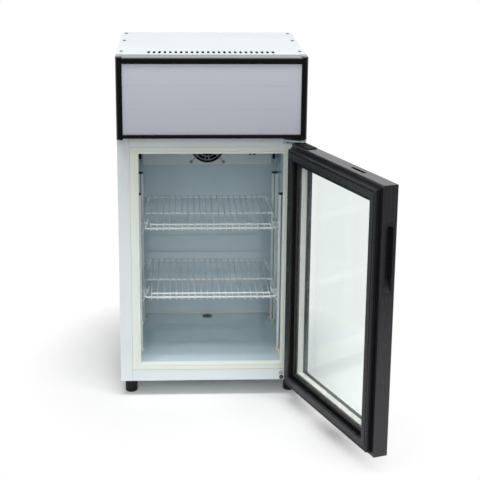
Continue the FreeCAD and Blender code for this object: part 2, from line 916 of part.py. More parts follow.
def header_post_right():
    """Black end post: a rounded corner wall with a cap at each end."""
    inner, outer = rail_half, header_half
    plan = [V(inner, header_front, header_low), V(outer, header_front, header_low),
            V(outer, front, header_low), V(outer - header_wall, front, header_low),
            V(outer - header_wall, header_front + header_wall, header_low),
            V(inner, header_front + header_wall, header_low)]
    wall = prism(plan, V(0, 0, side_top - header_low), [0, post_round, 0, 0, diffuser_side_gap, 0])
    cap_plan = [V(inner, header_front, side_top), V(outer, header_front, side_top),
                V(outer, front + header_wrap, side_top), V(inner, front + header_wrap, side_top)]
    cap = prism(cap_plan, V(0, 0, header_cap), [0, post_round, post_round, 0])
    foot_plan = [V(p.x, min(p.y, front), header_low) for p in cap_plan]
    foot = prism(foot_plan, V(0, 0, header_cap), [0, post_round, 0, 0])
    return fuse([wall, cap, foot])


def header_top_rail():
    """Black rail that wraps over the front edge of the top."""
    low = cabinet_height - top_rail_height
    inside = header_front + header_wall
    edge = front + header_wrap
    outline = [(header_front, low), (header_front, cabinet_height), (edge, cabinet_height),
               (edge, side_top), (inside, side_top), (inside, low)]
    points = [V(-rail_half, y, z) for y, z in outline]
    return prism(points, V(2 * rail_half, 0, 0), [edge_break, rail_round, 0, 0, 0, 0])


def header_bottom_rail():
    """Black rail under the diffuser."""
    high = deck_z + bottom_rail_height
    inside = header_front + header_wall
    edge = front - sheet
    outline = [(header_front, deck_z), (edge, deck_z), (edge, deck_z + header_cap),
               (inside, deck_z + header_cap), (inside, high), (header_front, high)]
    points = [V(-rail_half, y, z) for y, z in outline]
    return prism(points, V(2 * rail_half, 0, 0), [rail_round, 0, 0, 0, 0, edge_break])


def header_diffuser():
    """Translucent panel behind the black rails and posts."""
    wide = header_half - header_wall - diffuser_side_gap
    near = header_front + header_wall
    low = deck_z + header_cap + fit_gap
    return box(-wide, wide, near, near + diffuser_thickness, low, side_top - fit_gap)


def header_back_plate():
    """White sheet that closes the lamp space."""
    wide = header_half - header_wall - fit_gap
    return box(-wide, wide, front - sheet, front, deck_z + header_cap + fit_gap, side_top - fit_gap)


def sign_lamps():
    """Two lamp bars with rounded lenses on the back plate."""
    middle = (deck_z + side_top) / 2
    near = front - sheet - lamp_depth
    lamp_half = rail_half - lamp_end_gap
    bars = []
    for z in (middle - lamp_spacing / 2, middle + lamp_spacing / 2):
        low, high = z - lamp_height / 2, z + lamp_height / 2
        outline = [(front - sheet, low), (near, low), (near, high), (front - sheet, high)]
        points = [V(-lamp_half, y, z) for y, z in outline]
        bars.append(prism(points, V(2 * lamp_half, 0, 0), [0, lamp_round, lamp_round, 0]))
    return bars


def top_cover():
    """Flat white cover with a row of air slots near its front and a lip at the back."""
    near = front + header_wrap
    plate = box(-half_width, half_width, near, back, side_top, side_top + sheet)
    lip_half = half_width - rear_flange - fit_gap
    lip = box(-lip_half, lip_half, back - sheet, back, side_top - cover_lip, side_top + sheet)
    shape = fuse([plate, lip])
    near, far = front + vent_y - vent_length / 2, front + vent_y + vent_length / 2
    vents = []
    for i in range(vent_count):
        left = (i - (vent_count - 1) / 2) * vent_pitch - vent_width / 2
        vents.append(box(left, left + vent_width, near, far, side_top, side_top + sheet))
    return shape.cut(Part.makeCompound(vents))


def top_cover_screws():
    """Heads of the six screws that hold the top cover."""
    seats = [V(x, y, side_top + sheet) for x, y in screw_places()]
    return [screw_head(seat, ALONG_Z, screw_head_radius, screw_head_height) for seat in seats]


def screw_head(seat, outwards, radius, height):
    """Tapered screw head with flat facets, standing on a seat along Y or Z."""
    along = ALONG_X
    across = outwards.cross(along)
    top = seat + outwards * height
    rings = [polygon(seat, along, across, radius, screw_head_sides),
             polygon(top, along, across, radius * screw_head_taper, screw_head_sides)]
    return Part.makeLoft(rings, True, True)


def machine_deck():
    """Sheet that carries the cooling unit on top of the foam."""
    edge = half_width - sheet
    shape = box(-edge, edge, front + strip_return, rear_skin, deck_z, deck_top)
    return shape.cut(pipe_chase(-tube_end_x)).cut(pipe_chase(tube_end_x))


def rear_grille():
    """Rear sheet of the cooling unit with air slots and holes for the controls and the cord gland."""
    edge = half_width - sheet
    shape = box(-edge, edge, rear_skin, rear_skin + sheet, deck_top, grille_top)
    cuts = []
    for i in range(louvre_count):
        low = deck_top + louvre_lift + louvre_pitch * i
        left = louvre_x - louvre_length / 2
        cuts.append(box(left, left + louvre_length, rear_skin, rear_skin + sheet, low, low + louvre_width))
    cuts.append(rod(gland_radius, gland_point(rear_skin), gland_point(back)))
    cuts.append(rod(shaft_radius + hole_gap, shaft_point(rear_skin), shaft_point(back)))
    cuts.append(switch_block(hole_gap, rear_skin, rear_skin + sheet))
    return shape.cut(Part.makeCompound(cuts))


def compressor():
    """Round hermetic shell on its foot plate, with pipe stubs and a boss for the relay box."""
    plate_z = deck_top + mount_height
    shell_z = plate_z + compressor_plate
    x, y = compressor_x, compressor_y
    wide_x = compressor_foot_x + compressor_foot_margin
    wide_y = compressor_foot_y + compressor_foot_margin
    outline = [V(x - wide_x, y - wide_y, plate_z), V(x + wide_x, y - wide_y, plate_z),
               V(x + wide_x, y + wide_y, plate_z), V(x - wide_x, y + wide_y, plate_z)]
    plate = prism(outline, V(0, 0, compressor_plate), [compressor_foot_corner] * 4)
    shell = Part.makeCylinder(compressor_radius, compressor_height, V(x, y, shell_z))
    rims = [edge for edge in shell.Edges if edge.Curve.TypeId == "Part::GeomCircle"]
    shell = shell.makeChamfer(compressor_round, rims)
    boss_z = shell_z + compressor_height / 2
    boss = rod(relay_boss_radius, V(x, y, boss_z), V(relay_face_x(), y, boss_z))
    suction = rod(pipe_radius + pipe_stub_wall, V(-tube_end_x, y, suction_z()), suction_joint())
    discharge = rod(discharge_radius + pipe_stub_wall, V(discharge_x, y, discharge_z()), discharge_joint())
    return fuse([plate, shell, boss, suction, discharge])


def relay_face_x():
    """Where the relay box sits against the compressor's boss."""
    return compressor_x + compressor_radius + relay_boss_reach


def suction_z():
    return deck_top + suction_height


def discharge_z():
    return deck_top + discharge_height


def suction_joint():
    """End of the compressor's suction stub."""
    return V(-tube_end_x, compressor_y + compressor_radius + pipe_stub / 2, suction_z())


def discharge_joint():
    """End of the compressor's discharge stub."""
    return V(discharge_x, compressor_y - compressor_radius - pipe_stub / 2, discharge_z())


def mount_places():
    """The compressor's four rubber mounts."""
    return [
        (compressor_x + sx * compressor_foot_x, compressor_y + sy * compressor_foot_y)
        for sx in (-1, 1) for sy in (-1, 1)
    ]


def compressor_mounts():
    """Rubber mounts between the deck and the foot plate."""
    seats = [V(x, y, deck_top) for x, y in mount_places()]
    return [Part.makeCylinder(mount_radius, mount_height, seat) for seat in seats]


def compressor_relay():
    """Relay and overload box on the compressor's side."""
    x = relay_face_x()
    z = deck_top + mount_height + compressor_plate + compressor_height / 2
    half_y, half_z = relay_width / 2, relay_height / 2
    outline = [V(x, compressor_y - half_y, z - half_z), V(x, compressor_y + half_y, z - half_z),
               V(x, compressor_y + half_y, z + half_z), V(x, compressor_y - half_y, z + half_z)]
    return prism(outline, V(relay_depth, 0, 0), [relay_round] * 4)


def fin_strip(low, high):
    """Folded fin sheet between two flat tubes."""
    left = condenser_left + condenser_header + fin_end_gap
    right = condenser_right - condenser_header - fin_end_gap
    near = condenser_y - condenser_depth / 2
    step = (right - left) / fin_folds
    inner_high = high - fin_sheet
    lower, upper = [], []
    for i in range(fin_folds + 1):
        z = low if i % 2 == 0 else inner_high
        lower.append(V(left + step * i, near, z))
        upper.append(V(left + step * i, near, z + fin_sheet))
    return prism(lower + upper[::-1], V(0, condenser_depth, 0))


def condenser():
    """Flat-tube condenser: two round headers, flat tubes and folded fins."""
    low = deck_top
    floor = low + condenser_lift
    high = floor + condenser_height
    near, far = condenser_y - condenser_depth / 2, condenser_y + condenser_depth / 2
    pieces = [rod(condenser_header, V(x, condenser_y, low), V(x, condenser_y, high))
              for x in (condenser_left, condenser_right)]
    step = (condenser_height - condenser_tube_height) / (condenser_tubes - 1)
    for i in range(condenser_tubes):
        z = floor + step * i
        pieces.append(box(condenser_left, condenser_right, near, far, z, z + condenser_tube_height))
        if i:
            pieces.append(fin_strip(z - step + condenser_tube_height - weld_sink, z + weld_sink))
    inlet_start = V(condenser_left, condenser_y, discharge_z())
    outlet_start = V(condenser_right, condenser_y, liquid_z())
    pieces.append(rod(discharge_radius + pipe_stub_wall, inlet_start, condenser_inlet()))
    pieces.append(rod(pipe_radius + pipe_stub_wall, outlet_start, condenser_outlet()))
    return fuse(pieces)


def liquid_z():
    return deck_top + liquid_height


def condenser_inlet():
    """End of the inlet stub on the left header."""
    return V(condenser_left - condenser_header - pipe_stub, condenser_y, discharge_z())


def condenser_outlet():
    """End of the outlet stub on the right header."""
    return V(condenser_right, condenser_y + condenser_header + pipe_stub, liquid_z())


def blower_place():
    """Centre of the condenser fan's front face."""
    x = condenser_right - blower_pipe_gap - blower_size / 2
    return x, condenser_y + condenser_depth / 2, deck_top + blower_size / 2


def condenser_fan_frame():
    frame = fan_frame(blower_size, blower_depth, blower_bore, blower_hub)
    return placed(frame, *blower_place())


def condenser_fan_rotor():
    rotor = fan_rotor(blower_depth, blower_bore, blower_hub, blower_blades, blower_chord)
    return placed(rotor, *blower_place())


def evaporator_fan_frame():
    frame = fan_frame(fan_size, fan_depth, fan_bore, fan_hub)
    return placed(frame, 0, fan_front, fan_z)


def evaporator_fan_rotor():
    return placed(fan_rotor(fan_depth, fan_bore, fan_hub, fan_blades, fan_chord), 0, fan_front, fan_z)


def filter_drier():
    """Copper drier in line between the condenser and the capillary, with coned ends."""
    neck = pipe_radius + pipe_stub_wall
    cone = drier_radius
    profile = [(0, 0), (neck, 0), (drier_radius, cone), (drier_radius, drier_length - cone),
               (neck, drier_length), (0, drier_length)]
    points = [V(r, -along, 0) for r, along in profile]
    solid = Part.Face(Part.makePolygon(points + points[:1])).revolve(V(0, 0, 0), ALONG_Y, 360)
    return placed(solid, condenser_right, drier_rear_y, liquid_z())


def refrigerant_pipes():
    """Suction, discharge, liquid and capillary lines."""
    line_y = pipe_line_y() + evaporator_tube
    suction_low = V(-tube_end_x, line_y - pipe_radius, plate_high)
    suction_top = V(suction_low.x, suction_low.y, suction_z())
    bends = [0, pipe_bend, 0]
    suction = wire_bar([suction_joint(), suction_top, suction_low], pipe_radius, bends)
    corner = V(discharge_x, condenser_y, discharge_z())
    discharge = wire_bar([discharge_joint(), corner, condenser_inlet()], discharge_radius, bends)
    drier_front = V(condenser_right, drier_rear_y - drier_length, liquid_z())
    liquid = wire_bar([condenser_outlet(), drier_front], pipe_radius)
    capillary_low = V(tube_end_x, suction_low.y, plate_high)
    capillary_top = V(tube_end_x, capillary_low.y, liquid_z())
    drier_rear = V(tube_end_x, drier_rear_y, liquid_z())
    capillary = wire_bar([drier_rear, capillary_top, capillary_low], capillary_radius, bends)
    return [suction, discharge, liquid, capillary]


def shaft_point(y):
    """Point on the thermostat's axis."""
    return V(half_width - thermostat_from_side, y, deck_top + thermostat_lift)


def thermostat():
    """Thermostat body behind the grille with its shaft through it."""
    centre = shaft_point(rear_skin)
    wide, tall = thermostat_width / 2, thermostat_height / 2
    body = box(centre.x - wide, centre.x + wide, rear_skin - thermostat_depth, rear_skin,
               centre.z - tall, centre.z + tall)
    return fuse([body, rod(shaft_radius, centre, shaft_point(rear_skin + sheet + shaft_length))])


def thermostat_knob():
    """Round knob with a grip rib, turning on the thermostat's shaft."""
    near = rear_skin + sheet + fit_gap
    far = near + knob_height
    skirt_top = near + knob_skirt
    disc = rod(knob_radius, shaft_point(near), shaft_point(skirt_top))
    grip = rod(knob_grip_radius, shaft_point(near), shaft_point(far))
    centre = shaft_point(near)
    rib = box(centre.x - knob_rib / 2, centre.x + knob_rib / 2, near, far, centre.z, centre.z + knob_radius)
    bore_end = shaft_point(near + shaft_length)
    return fuse([disc, grip, rib]).cut(rod(shaft_radius + pin_gap, centre, bore_end))


def switch_centre():
    return V(half_width - switch_from_side, rear_skin + sheet, deck_top + switch_lift)


def switch_block(grow, near, far):
    """The switch body's outline, grown by a clearance."""
    centre = switch_centre()
    wide, tall = switch_width / 2 + grow, switch_height / 2 + grow
    return box(centre.x - wide, centre.x + wide, near, far, centre.z - tall, centre.z + tall)


def light_switch():
    """Switch body through the grille, with a bezel and a well for the rocker."""
    face = rear_skin + sheet
    body = switch_block(0, rear_skin - switch_depth, face)
    bezel = switch_block(switch_bezel, face, face + switch_bezel)
    centre = switch_centre()
    wide, tall = rocker_width / 2 + rocker_gap, rocker_height / 2 + 2 * rocker_gap
    well = box(centre.x - wide, centre.x + wide, face - 2 * rocker_drop(), face + switch_bezel,
               centre.z - tall, centre.z + tall)
    return fuse([body, bezel]).cut(well)


def rocker_drop():
    """How far the rocker's ends travel, with room to spare."""
    return rocker_height / 2 * math.sin(math.radians(rocker_tilt)) + rocker_room


def light_switch_rocker():
    """Rocker with a shallow V face, resting with one end pressed in."""
    centre = switch_centre()
    half = rocker_height / 2
    low = centre.y - rocker_drop() / 2
    face = centre.y + switch_bezel
    crest = face + rocker_rise
    outline = [(low, -half / 2), (centre.y, -half), (crest, -half), (face, 0), (crest, half),
               (centre.y, half), (low, half / 2)]
    points = [V(centre.x - rocker_width / 2, y, centre.z + z) for y, z in outline]
    shape = prism(points, V(rocker_width, 0, 0))
    shape.rotate(centre, ALONG_X, -rocker_tilt)
    return shape


def gland_point(y):
    """Point on the cord gland's axis."""
    return V(gland_from_side - half_width, y, deck_top + gland_lift)


def cord_gland():
    """Gland in the grille: outer collar and thread, with the cord's bore."""
    outside = rear_skin + sheet
    collar = rod(gland_flange, gland_point(outside), gland_point(outside + gland_reach))
    thread = rod(gland_radius - hole_gap, gland_point(rear_skin - gland_thread), gland_point(outside))
    bore = rod(gland_bore, gland_point(rear_skin - gland_thread), gland_point(outside + gland_reach))
    return fuse([collar, thread]).cut(bore)


def door_area():
    return door_x0, door_x1, door_bottom, door_top


def door_profile():
    """Door bar section: outer face, inner face and the rebate that holds the glass."""
    rebate = pane_inset - hole_gap
    near, far = glass_out - hole_gap, glass_in + hole_gap
    return [
        (0, frame_out, door_round), (door_face, frame_out, edge_break), (door_face, near, 0),
        (rebate, near, 0), (rebate, far, 0), (door_face, far, 0), (door_face, frame_in, edge_break),
        (0, frame_in, door_round),
    ]


def door_bar(side):
    """One mitred hollow bar of the door frame."""
    inner = pane_inset - pocket_wall
    hole = [(door_wall, frame_out + door_wall), (inner, frame_out + door_wall),
            (inner, frame_in - door_wall), (door_wall, frame_in - door_wall)]
    return frame_side(side, door_area(), door_profile(), (door_face, door_face), hole)


def turned_open(shape):
    """A door piece turned from closed to its resting angle."""
    turned = shape.copy()
    turned.rotate(V(hinge_x, hinge_y, 0), ALONG_Z, door_open)
    return turned


def hinge_point(z):
    """Point on the hinge's axis."""
    return V(hinge_x, hinge_y, z)


def bush_hole():
    """Hole for the hinge bushes in the top and bottom rails."""
    return rod(bush_radius + hole_gap, hinge_point(door_bottom), hinge_point(door_top))


def door_rail_top():
    """Top rail with a slot in its upper wall."""
    centre = V(door_x1 - door_slot_place, (frame_out + frame_in) / 2, door_top - door_wall)
    opening = slot(centre, ALONG_X, ALONG_Y, door_slot_length, door_slot_width, V(0, 0, door_wall))
    return door_bar("top").cut(opening).cut(bush_hole())


def handle_centre():
    middle = (frame_out + frame_in) / 2
    return V(door_x0, middle, door_top - handle_drop)


def handle_cup(length, width, depth):
    """Round-ended block that reaches into the door's free edge."""
    return slot(handle_centre(), ALONG_Z, ALONG_Y, length, width, V(depth, 0, 0))


def door_stile_free():
    """Free stile with the opening for the handle insert."""
    grow = 2 * (grip_skin + hole_gap)
    return door_bar("left").cut(handle_cup(grip_length + grow, grip_width + grow, door_face / 2))


def door_handle():
    """Handle insert: a thin flange and a finger cup with a sloping lower end."""
    centre = handle_centre()
    half_y, half_z = handle_width / 2, handle_length / 2
    outline = [centre + V(0, sy * half_y, sz * half_z) for sy, sz in ((-1, -1), (1, -1), (1, 1), (-1, 1))]
    flange = prism(outline, V(-handle_flange, 0, 0), [handle_corner] * 4)
    skin = 2 * grip_skin
    cup = handle_cup(grip_length + skin, grip_width + skin, grip_depth + grip_skin)
    low = centre.z - grip_length / 2
    high = centre.z + grip_length / 2
    mouth = centre.x - handle_flange
    floor = centre.x + grip_depth
    outline = [(mouth, low), (floor, low + grip_slope), (floor, high), (mouth, high)]
    side_view = [V(x, centre.y - grip_width / 2, z) for x, z in outline]
    room = prism(side_view, V(0, grip_width, 0), [0, grip_low_round, grip_high_round, 0])
    round_room = slot(centre - ALONG_X * handle_flange, ALONG_Z, ALONG_Y, grip_length, grip_width,
                      V(grip_depth + handle_flange, 0, 0))
    return fuse([flange, cup]).cut(room.common(round_room))


def pane(near):
    """One glass pane, held at its edges by the frame."""
    inset = pane_inset
    return box(door_x0 + inset, door_x1 - inset, near, near + glass_thickness,
               door_bottom + inset, door_top - inset)


def glass_panes():
    return [pane(glass_out), pane(glass_in - glass_thickness)]


def spacer_bar():
    """Hollow spacer frame between the panes, just inside their edges."""
    inset = pane_inset + spacer_edge
    near, far = glass_out + glass_thickness, glass_in - glass_thickness
    area = (door_x0 + inset, door_x1 - inset, door_bottom + inset, door_top - inset)
    profile = [(0, near, 0), (spacer_width, near, 0), (spacer_width, far, 0), (0, far, 0)]
    hole = [(spacer_skin, near + spacer_skin), (spacer_width - spacer_skin, near + spacer_skin),
            (spacer_width - spacer_skin, far - spacer_skin), (spacer_skin, far - spacer_skin)]
    sides = [frame_side(side, area, profile, (spacer_width, spacer_width), hole) for side in SIDES]
    return fuse(sides)


def door_gasket():
    """Magnetic gasket welded at its corners, with a bellows fold on both flanks."""
    left, right, low, high = door_area()
    inset = gasket_inset
    area = (left + inset, right - inset, low + inset, high - inset)
    seal = front - gasket_seal_gap
    fold = (frame_in + seal) / 2
    quarter = (seal - frame_in) / 4
    wide, notch = gasket_width, gasket_notch
    profile = [
        (0, frame_in, 0), (0, fold - quarter, 0), (notch, fold, 0), (0, fold + quarter, 0),
        (0, seal, edge_break), (wide, seal, edge_break), (wide, fold + quarter, 0),
        (wide - notch, fold, 0), (wide, fold - quarter, 0), (wide, frame_in, 0),
    ]
    return fuse([frame_side(side, area, profile, (wide, wide)) for side in SIDES])


def bush(start, end):
    """Hinge bush around the pin."""
    return rod(bush_radius, start, end)


def hinge_block_top():
    """Black block on the top rail: a long plate with the upper bush below it."""
    near, far = frame_out + block_margin, frame_in - block_margin
    right = door_x1 - block_margin / 2
    left = right - block_length
    outline = [(left, near), (right, near), (right, far), (left, far)]
    radii = [block_corner, block_end_corner, block_end_corner, block_corner]
    plate = prism([V(x, y, door_top) for x, y in outline], V(0, 0, block_plate), radii)
    tail = bush(hinge_point(door_top - bush_length), hinge_point(door_top))
    pin_room = rod(pin_radius + pin_gap, hinge_point(door_top - bush_length), hinge_point(block_top))
    return fuse([plate, tail]).cut(pin_room)


def hinge_block_bottom():
    """Lower bush with a thin flange under the bottom rail."""
    flange = rod(lower_flange_radius, hinge_point(door_bottom - lower_flange), hinge_point(door_bottom))
    tail = bush(hinge_point(door_bottom), hinge_point(door_bottom + bush_length))
    pin_room = rod(pin_radius + pin_gap, hinge_point(door_bottom - lower_flange),
                   hinge_point(door_bottom + bush_length))
    return fuse([flange, tail]).cut(pin_room)


def upper_screw_places():
    """Screws of the top hinge bracket."""
    middle = bracket_left() + bracket_length / 2 - upper_screw_shift
    z = bracket_low - upper_screw_drop
    return [(middle - hinge_screw_pitch / 2, z), (middle + hinge_screw_pitch / 2, z)]


def bracket_left():
    return hinge_x + bracket_round - bracket_length


def hinge_bracket_top():
    """Zinc bracket over the door: a leg on the front strip, a plate and the riveted upper pin."""
    high = bracket_low + bracket_sheet
    right = hinge_x + bracket_round
    near = hinge_y - bracket_round
    left = bracket_left()
    outline = [(left, front), (left, front - header_reach / 2), (hinge_x - bracket_round, near),
               (right, near), (right, front)]
    points = [V(x, y, bracket_low) for x, y in outline]
    radii = [0, bracket_corner, bracket_nose_round, bracket_nose_round, 0]
    plate = prism(points, V(0, 0, bracket_sheet), radii)
    leg = box(left, right, front - bracket_sheet, front, high - bracket_leg, high)
    pin = rod(pin_radius, hinge_point(door_top - bush_length + pin_end_gap), hinge_point(high))
    rivet = rod(pin_radius + rivet_margin, hinge_point(high), hinge_point(high + rivet_height))
    return fuse([plate, leg, pin, rivet])


def lower_screw_places():
    """Screws of the lower hinge bracket, under the front edge of the cabinet."""
    y = front + lower_bracket_reach / 2
    first = hinge_x + bracket_round - lower_bracket_width + lower_screw_edge
    return [(first, y), (first + lower_screw_pitch, y)]


def hinge_bracket_bottom():
    """Zinc bracket under the cabinet that carries the lower pin."""
    right = hinge_x + bracket_round
    left = right - lower_bracket_width
    near = hinge_y - bracket_round
    low = base_z - bracket_sheet
    rear = front + lower_bracket_reach
    outline = [(left, rear), (left, front), (hinge_x - bracket_round, near), (right, near), (right, rear)]
    points = [V(x, y, low) for x, y in outline]
    radii = [0, bracket_corner, bracket_nose_round, bracket_nose_round, 0]
    plate = prism(points, V(0, 0, bracket_sheet), radii)
    pin = rod(pin_radius, hinge_point(low), hinge_point(door_bottom + bush_length - pin_end_gap))
    return fuse([plate, pin])


def flat_screw():
    """Screw in the bottom strip, all but flush so that the gasket can close over it."""
    seat = strip_screw_seat()
    head = rod(strip_screw_radius, seat - ALONG_Y * strip_screw_proud, seat + ALONG_Y * sheet)
    return fuse([head, rod(strip_screw_shank, seat, seat + ALONG_Y * strip_screw_length)])


def hinge_screws():
    """Screws of both hinge brackets and the one in the bottom strip."""
    upper = [V(x, front - bracket_sheet, z) for x, z in upper_screw_places()]
    lower = [V(x, y, base_z - bracket_sheet) for x, y in lower_screw_places()]
    screws = [screw_head(seat, -ALONG_Y, hinge_screw_radius, hinge_screw_height) for seat in upper]
    screws += [screw_head(seat, -ALONG_Z, hinge_screw_radius, hinge_screw_height) for seat in lower]
    return screws + [flat_screw()]


def cabinet_pieces():
    """Every node of the cabinet, its cooling unit and its header."""
    left_panel = side_panel_left()
    right_post = header_post_right()
    pieces = {
        "side_panel_left": left_panel,
        "side_panel_right": mirrored(left_panel),
        "base_panel": base_panel(), "front_top_strip": front_top_strip(),
        "rear_panel": rear_panel(), "rear_grille": rear_grille(),
        "insulation_foam": insulation_foam(), "liner": liner(),
        "drain_spout": drain_spout(), "feet": feet(),
        "shelf_pilasters": shelf_pilasters(), "pilaster_caps": pilaster_caps(),
        "shelf_clips": shelf_clips(),
        "shelf_upper": wire_shelf(upper_shelf_z), "shelf_lower": wire_shelf(lower_shelf_z),
        "fan_cover": fan_cover(), "fan_guard": fan_guard(),
        "evaporator_fan_frame": evaporator_fan_frame(), "evaporator_fan_rotor": evaporator_fan_rotor(),
        "evaporator": evaporator(), "temperature_sensor": temperature_sensor(),
        "header_post_left": mirrored(right_post), "header_post_right": right_post,
        "header_top_rail": header_top_rail(), "header_bottom_rail": header_bottom_rail(),
        "header_diffuser": header_diffuser(), "header_back_plate": header_back_plate(),
        "sign_lamps": sign_lamps(),
        "top_cover": top_cover(), "top_cover_screws": top_cover_screws(),
        "machine_deck": machine_deck(), "compressor": compressor(),
        "compressor_mounts": compressor_mounts(), "compressor_relay": compressor_relay(),
        "condenser": condenser(), "condenser_fan_frame": condenser_fan_frame(),
        "condenser_fan_rotor": condenser_fan_rotor(), "filter_drier": filter_drier(),
        "refrigerant_pipes": refrigerant_pipes(),
        "thermostat": thermostat(), "thermostat_knob": thermostat_knob(),
        "light_switch": light_switch(), "light_switch_rocker": light_switch_rocker(),
        "cord_gland": cord_gland(),
        "hinge_bracket_top": hinge_bracket_top(), "hinge_bracket_bottom": hinge_bracket_bottom(),
        "hinge_screws": hinge_screws(),
    }
    for side in SIDES:
        pieces["trim_" + side] = trim_bar(side)
    return pieces


def door_pieces():
    """Every node of the door, closed."""
    return {
        "door_stile_hinge": door_bar("right"), "door_stile_free": door_stile_free(),
        "door_rail_top": door_rail_top(), "door_rail_bottom": door_bar("bottom").cut(bush_hole()),
        "glass_panes": glass_panes(), "spacer_bar": spacer_bar(), "door_gasket": door_gasket(),
        "door_handle": door_handle(),
        "hinge_blocks": [hinge_block_top(), hinge_block_bottom()],
    }


def as_shape(piece):
    """A single shape, or a group of separate solids as one compound."""
    return Part.makeCompound(piece) if isinstance(piece, list) else piece


def main():
    os.makedirs("parts", exist_ok=True)
    pieces = {name: as_shape(piece) for name, piece in cabinet_pieces().items()}
    for name, piece in door_pieces().items():
        pieces[name] = turned_open(as_shape(piece))
    for name, shape in pieces.items():
        shape.exportStep("parts/" + name + ".step")
    print(len(pieces), "nodes,", sum(len(shape.Solids) for shape in pieces.values()), "solids")


main()
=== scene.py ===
# %% [markdown]
# # A glass door bar fridge
# The fridge arrives as a fixed frame of CAD pieces in metres. This lesson dresses that frame: it sets up a
# plain studio, makes every finish from shader nodes, and replaces the pieces whose real form is finer than
# the CAD one, such as wire shelves, screws, the fan and the door gasket. Loading comes first, because most
# places and outer sizes below are read from the frame instead of being typed again.

# %% Load the frame
import json
import math

import bmesh
import bpy
from mathutils import Matrix, Vector


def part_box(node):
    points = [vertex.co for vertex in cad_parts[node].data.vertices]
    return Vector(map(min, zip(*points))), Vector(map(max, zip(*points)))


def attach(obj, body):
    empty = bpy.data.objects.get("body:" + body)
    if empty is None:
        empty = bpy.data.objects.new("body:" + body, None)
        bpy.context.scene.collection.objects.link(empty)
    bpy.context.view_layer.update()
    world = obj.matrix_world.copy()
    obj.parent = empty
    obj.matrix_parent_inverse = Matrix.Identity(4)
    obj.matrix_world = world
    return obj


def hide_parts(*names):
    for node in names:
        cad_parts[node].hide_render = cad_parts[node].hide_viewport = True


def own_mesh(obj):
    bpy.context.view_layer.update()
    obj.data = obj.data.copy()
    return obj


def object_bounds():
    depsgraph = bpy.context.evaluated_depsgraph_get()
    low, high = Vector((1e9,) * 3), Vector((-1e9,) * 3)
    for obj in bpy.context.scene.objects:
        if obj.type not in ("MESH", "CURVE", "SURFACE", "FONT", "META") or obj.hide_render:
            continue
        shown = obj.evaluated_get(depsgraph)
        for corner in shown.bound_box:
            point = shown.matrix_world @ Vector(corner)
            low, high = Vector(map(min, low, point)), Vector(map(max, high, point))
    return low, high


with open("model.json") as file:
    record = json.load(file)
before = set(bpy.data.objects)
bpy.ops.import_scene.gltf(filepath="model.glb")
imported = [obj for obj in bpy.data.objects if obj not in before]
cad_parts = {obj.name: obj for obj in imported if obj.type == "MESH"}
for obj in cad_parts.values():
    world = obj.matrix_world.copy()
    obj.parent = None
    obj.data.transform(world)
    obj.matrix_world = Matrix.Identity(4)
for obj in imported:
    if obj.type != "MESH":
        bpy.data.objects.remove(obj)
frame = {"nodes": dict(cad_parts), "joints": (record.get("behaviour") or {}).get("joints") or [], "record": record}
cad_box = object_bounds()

scene = bpy.context.scene

# %% [markdown]
# ## Units and the camera
# Blender works in metres, but a maker thinks in millimetres, so one named factor turns one into the other.
# The camera stands a little left of the middle and higher than the top of the fridge, and looks down at it
# with a long lens. Its three angles are turned into an orientation by hand, because a tracking constraint
# would lose the slight roll.

# %% Units and camera
MM = 0.001
LENS_MM = 96.17
SENSOR_MM = 36.0
CAMERA_PLACE = Vector((-81.9, -3080.9, 1225.8)) * MM
YAW, PITCH, ROLL = (math.radians(angle) for angle in (2.975, -16.2, 0.5))


def aim(yaw, pitch, roll):
    """Camera axes for a view that turns right by yaw, tips up by pitch and rolls about its own line."""
    ahead = Vector((math.sin(yaw) * math.cos(pitch), math.cos(yaw) * math.cos(pitch), math.sin(pitch)))
    right = Vector((math.cos(yaw), -math.sin(yaw), 0))
    up = right.cross(ahead)
    across = right * math.cos(roll) + up * math.sin(roll)
    upright = up * math.cos(roll) - right * math.sin(roll)
    return Matrix((across, upright, -ahead)).transposed().to_4x4()


camera_data = bpy.data.cameras.new("camera")
camera_data.lens = LENS_MM
camera_data.sensor_width = SENSOR_MM
camera = bpy.data.objects.new("camera", camera_data)
camera.matrix_world = Matrix.Translation(CAMERA_PLACE) @ aim(YAW, PITCH, ROLL)
scene.collection.objects.link(camera)
scene.camera = camera
scene.view_settings.view_transform = "Standard"
print("camera at", [round(value, 3) for value in camera.location])

# %% [markdown]
# ## Nodes and colours
# A shader is a small network. One helper adds a node, sets its own options and fills its sockets: a plain
# value is set, and another node or one of its outputs is linked. A node stands for the first output that its
# options leave in use. The sockets of a Mix node share their names, so they are picked by number. Colours are
# written as hex values, the way a paint chart gives them, and one function turns them to the linear light
# that the renderer adds up.

# %% Helpers for shader networks
SHARE, NUMBER_A, NUMBER_B, COLOUR_A, COLOUR_B = 0, 2, 3, 6, 7


def linear(code):
    """An sRGB hex colour as linear red, green, blue and alpha."""
    parts = [int(code[i:i + 2], 16) / 255 for i in (1, 3, 5)]
    return [p / 12.92 if p <= 0.04045 else ((p + 0.055) / 1.055) ** 2.4 for p in parts] + [1.0]


def add(tree, kind, inputs=None, **settings):
    """Add one node with its settings, and set or link each of its inputs."""
    made = tree.nodes.new(kind)
    for name, value in settings.items():
        setattr(made, name, value)
    for name, value in (inputs or {}).items():
        if isinstance(value, bpy.types.Node):
            value = next(output for output in value.outputs if output.enabled)
        if isinstance(value, bpy.types.NodeSocket):
            tree.links.new(value, made.inputs[name])
        else:
            made.inputs[name].default_value = value
    return made


def empty_tree(owner):
    """The cleared node tree of a material or world."""
    owner.use_nodes = True
    owner.node_tree.nodes.clear()
    return owner.node_tree


def blank_finish(name):
    """A new material, its cleared node tree, and the place of each surface point in metres."""
    made = bpy.data.materials.new(name)
    tree = empty_tree(made)
    return made, tree, add(tree, "ShaderNodeTexCoord").outputs["Object"]


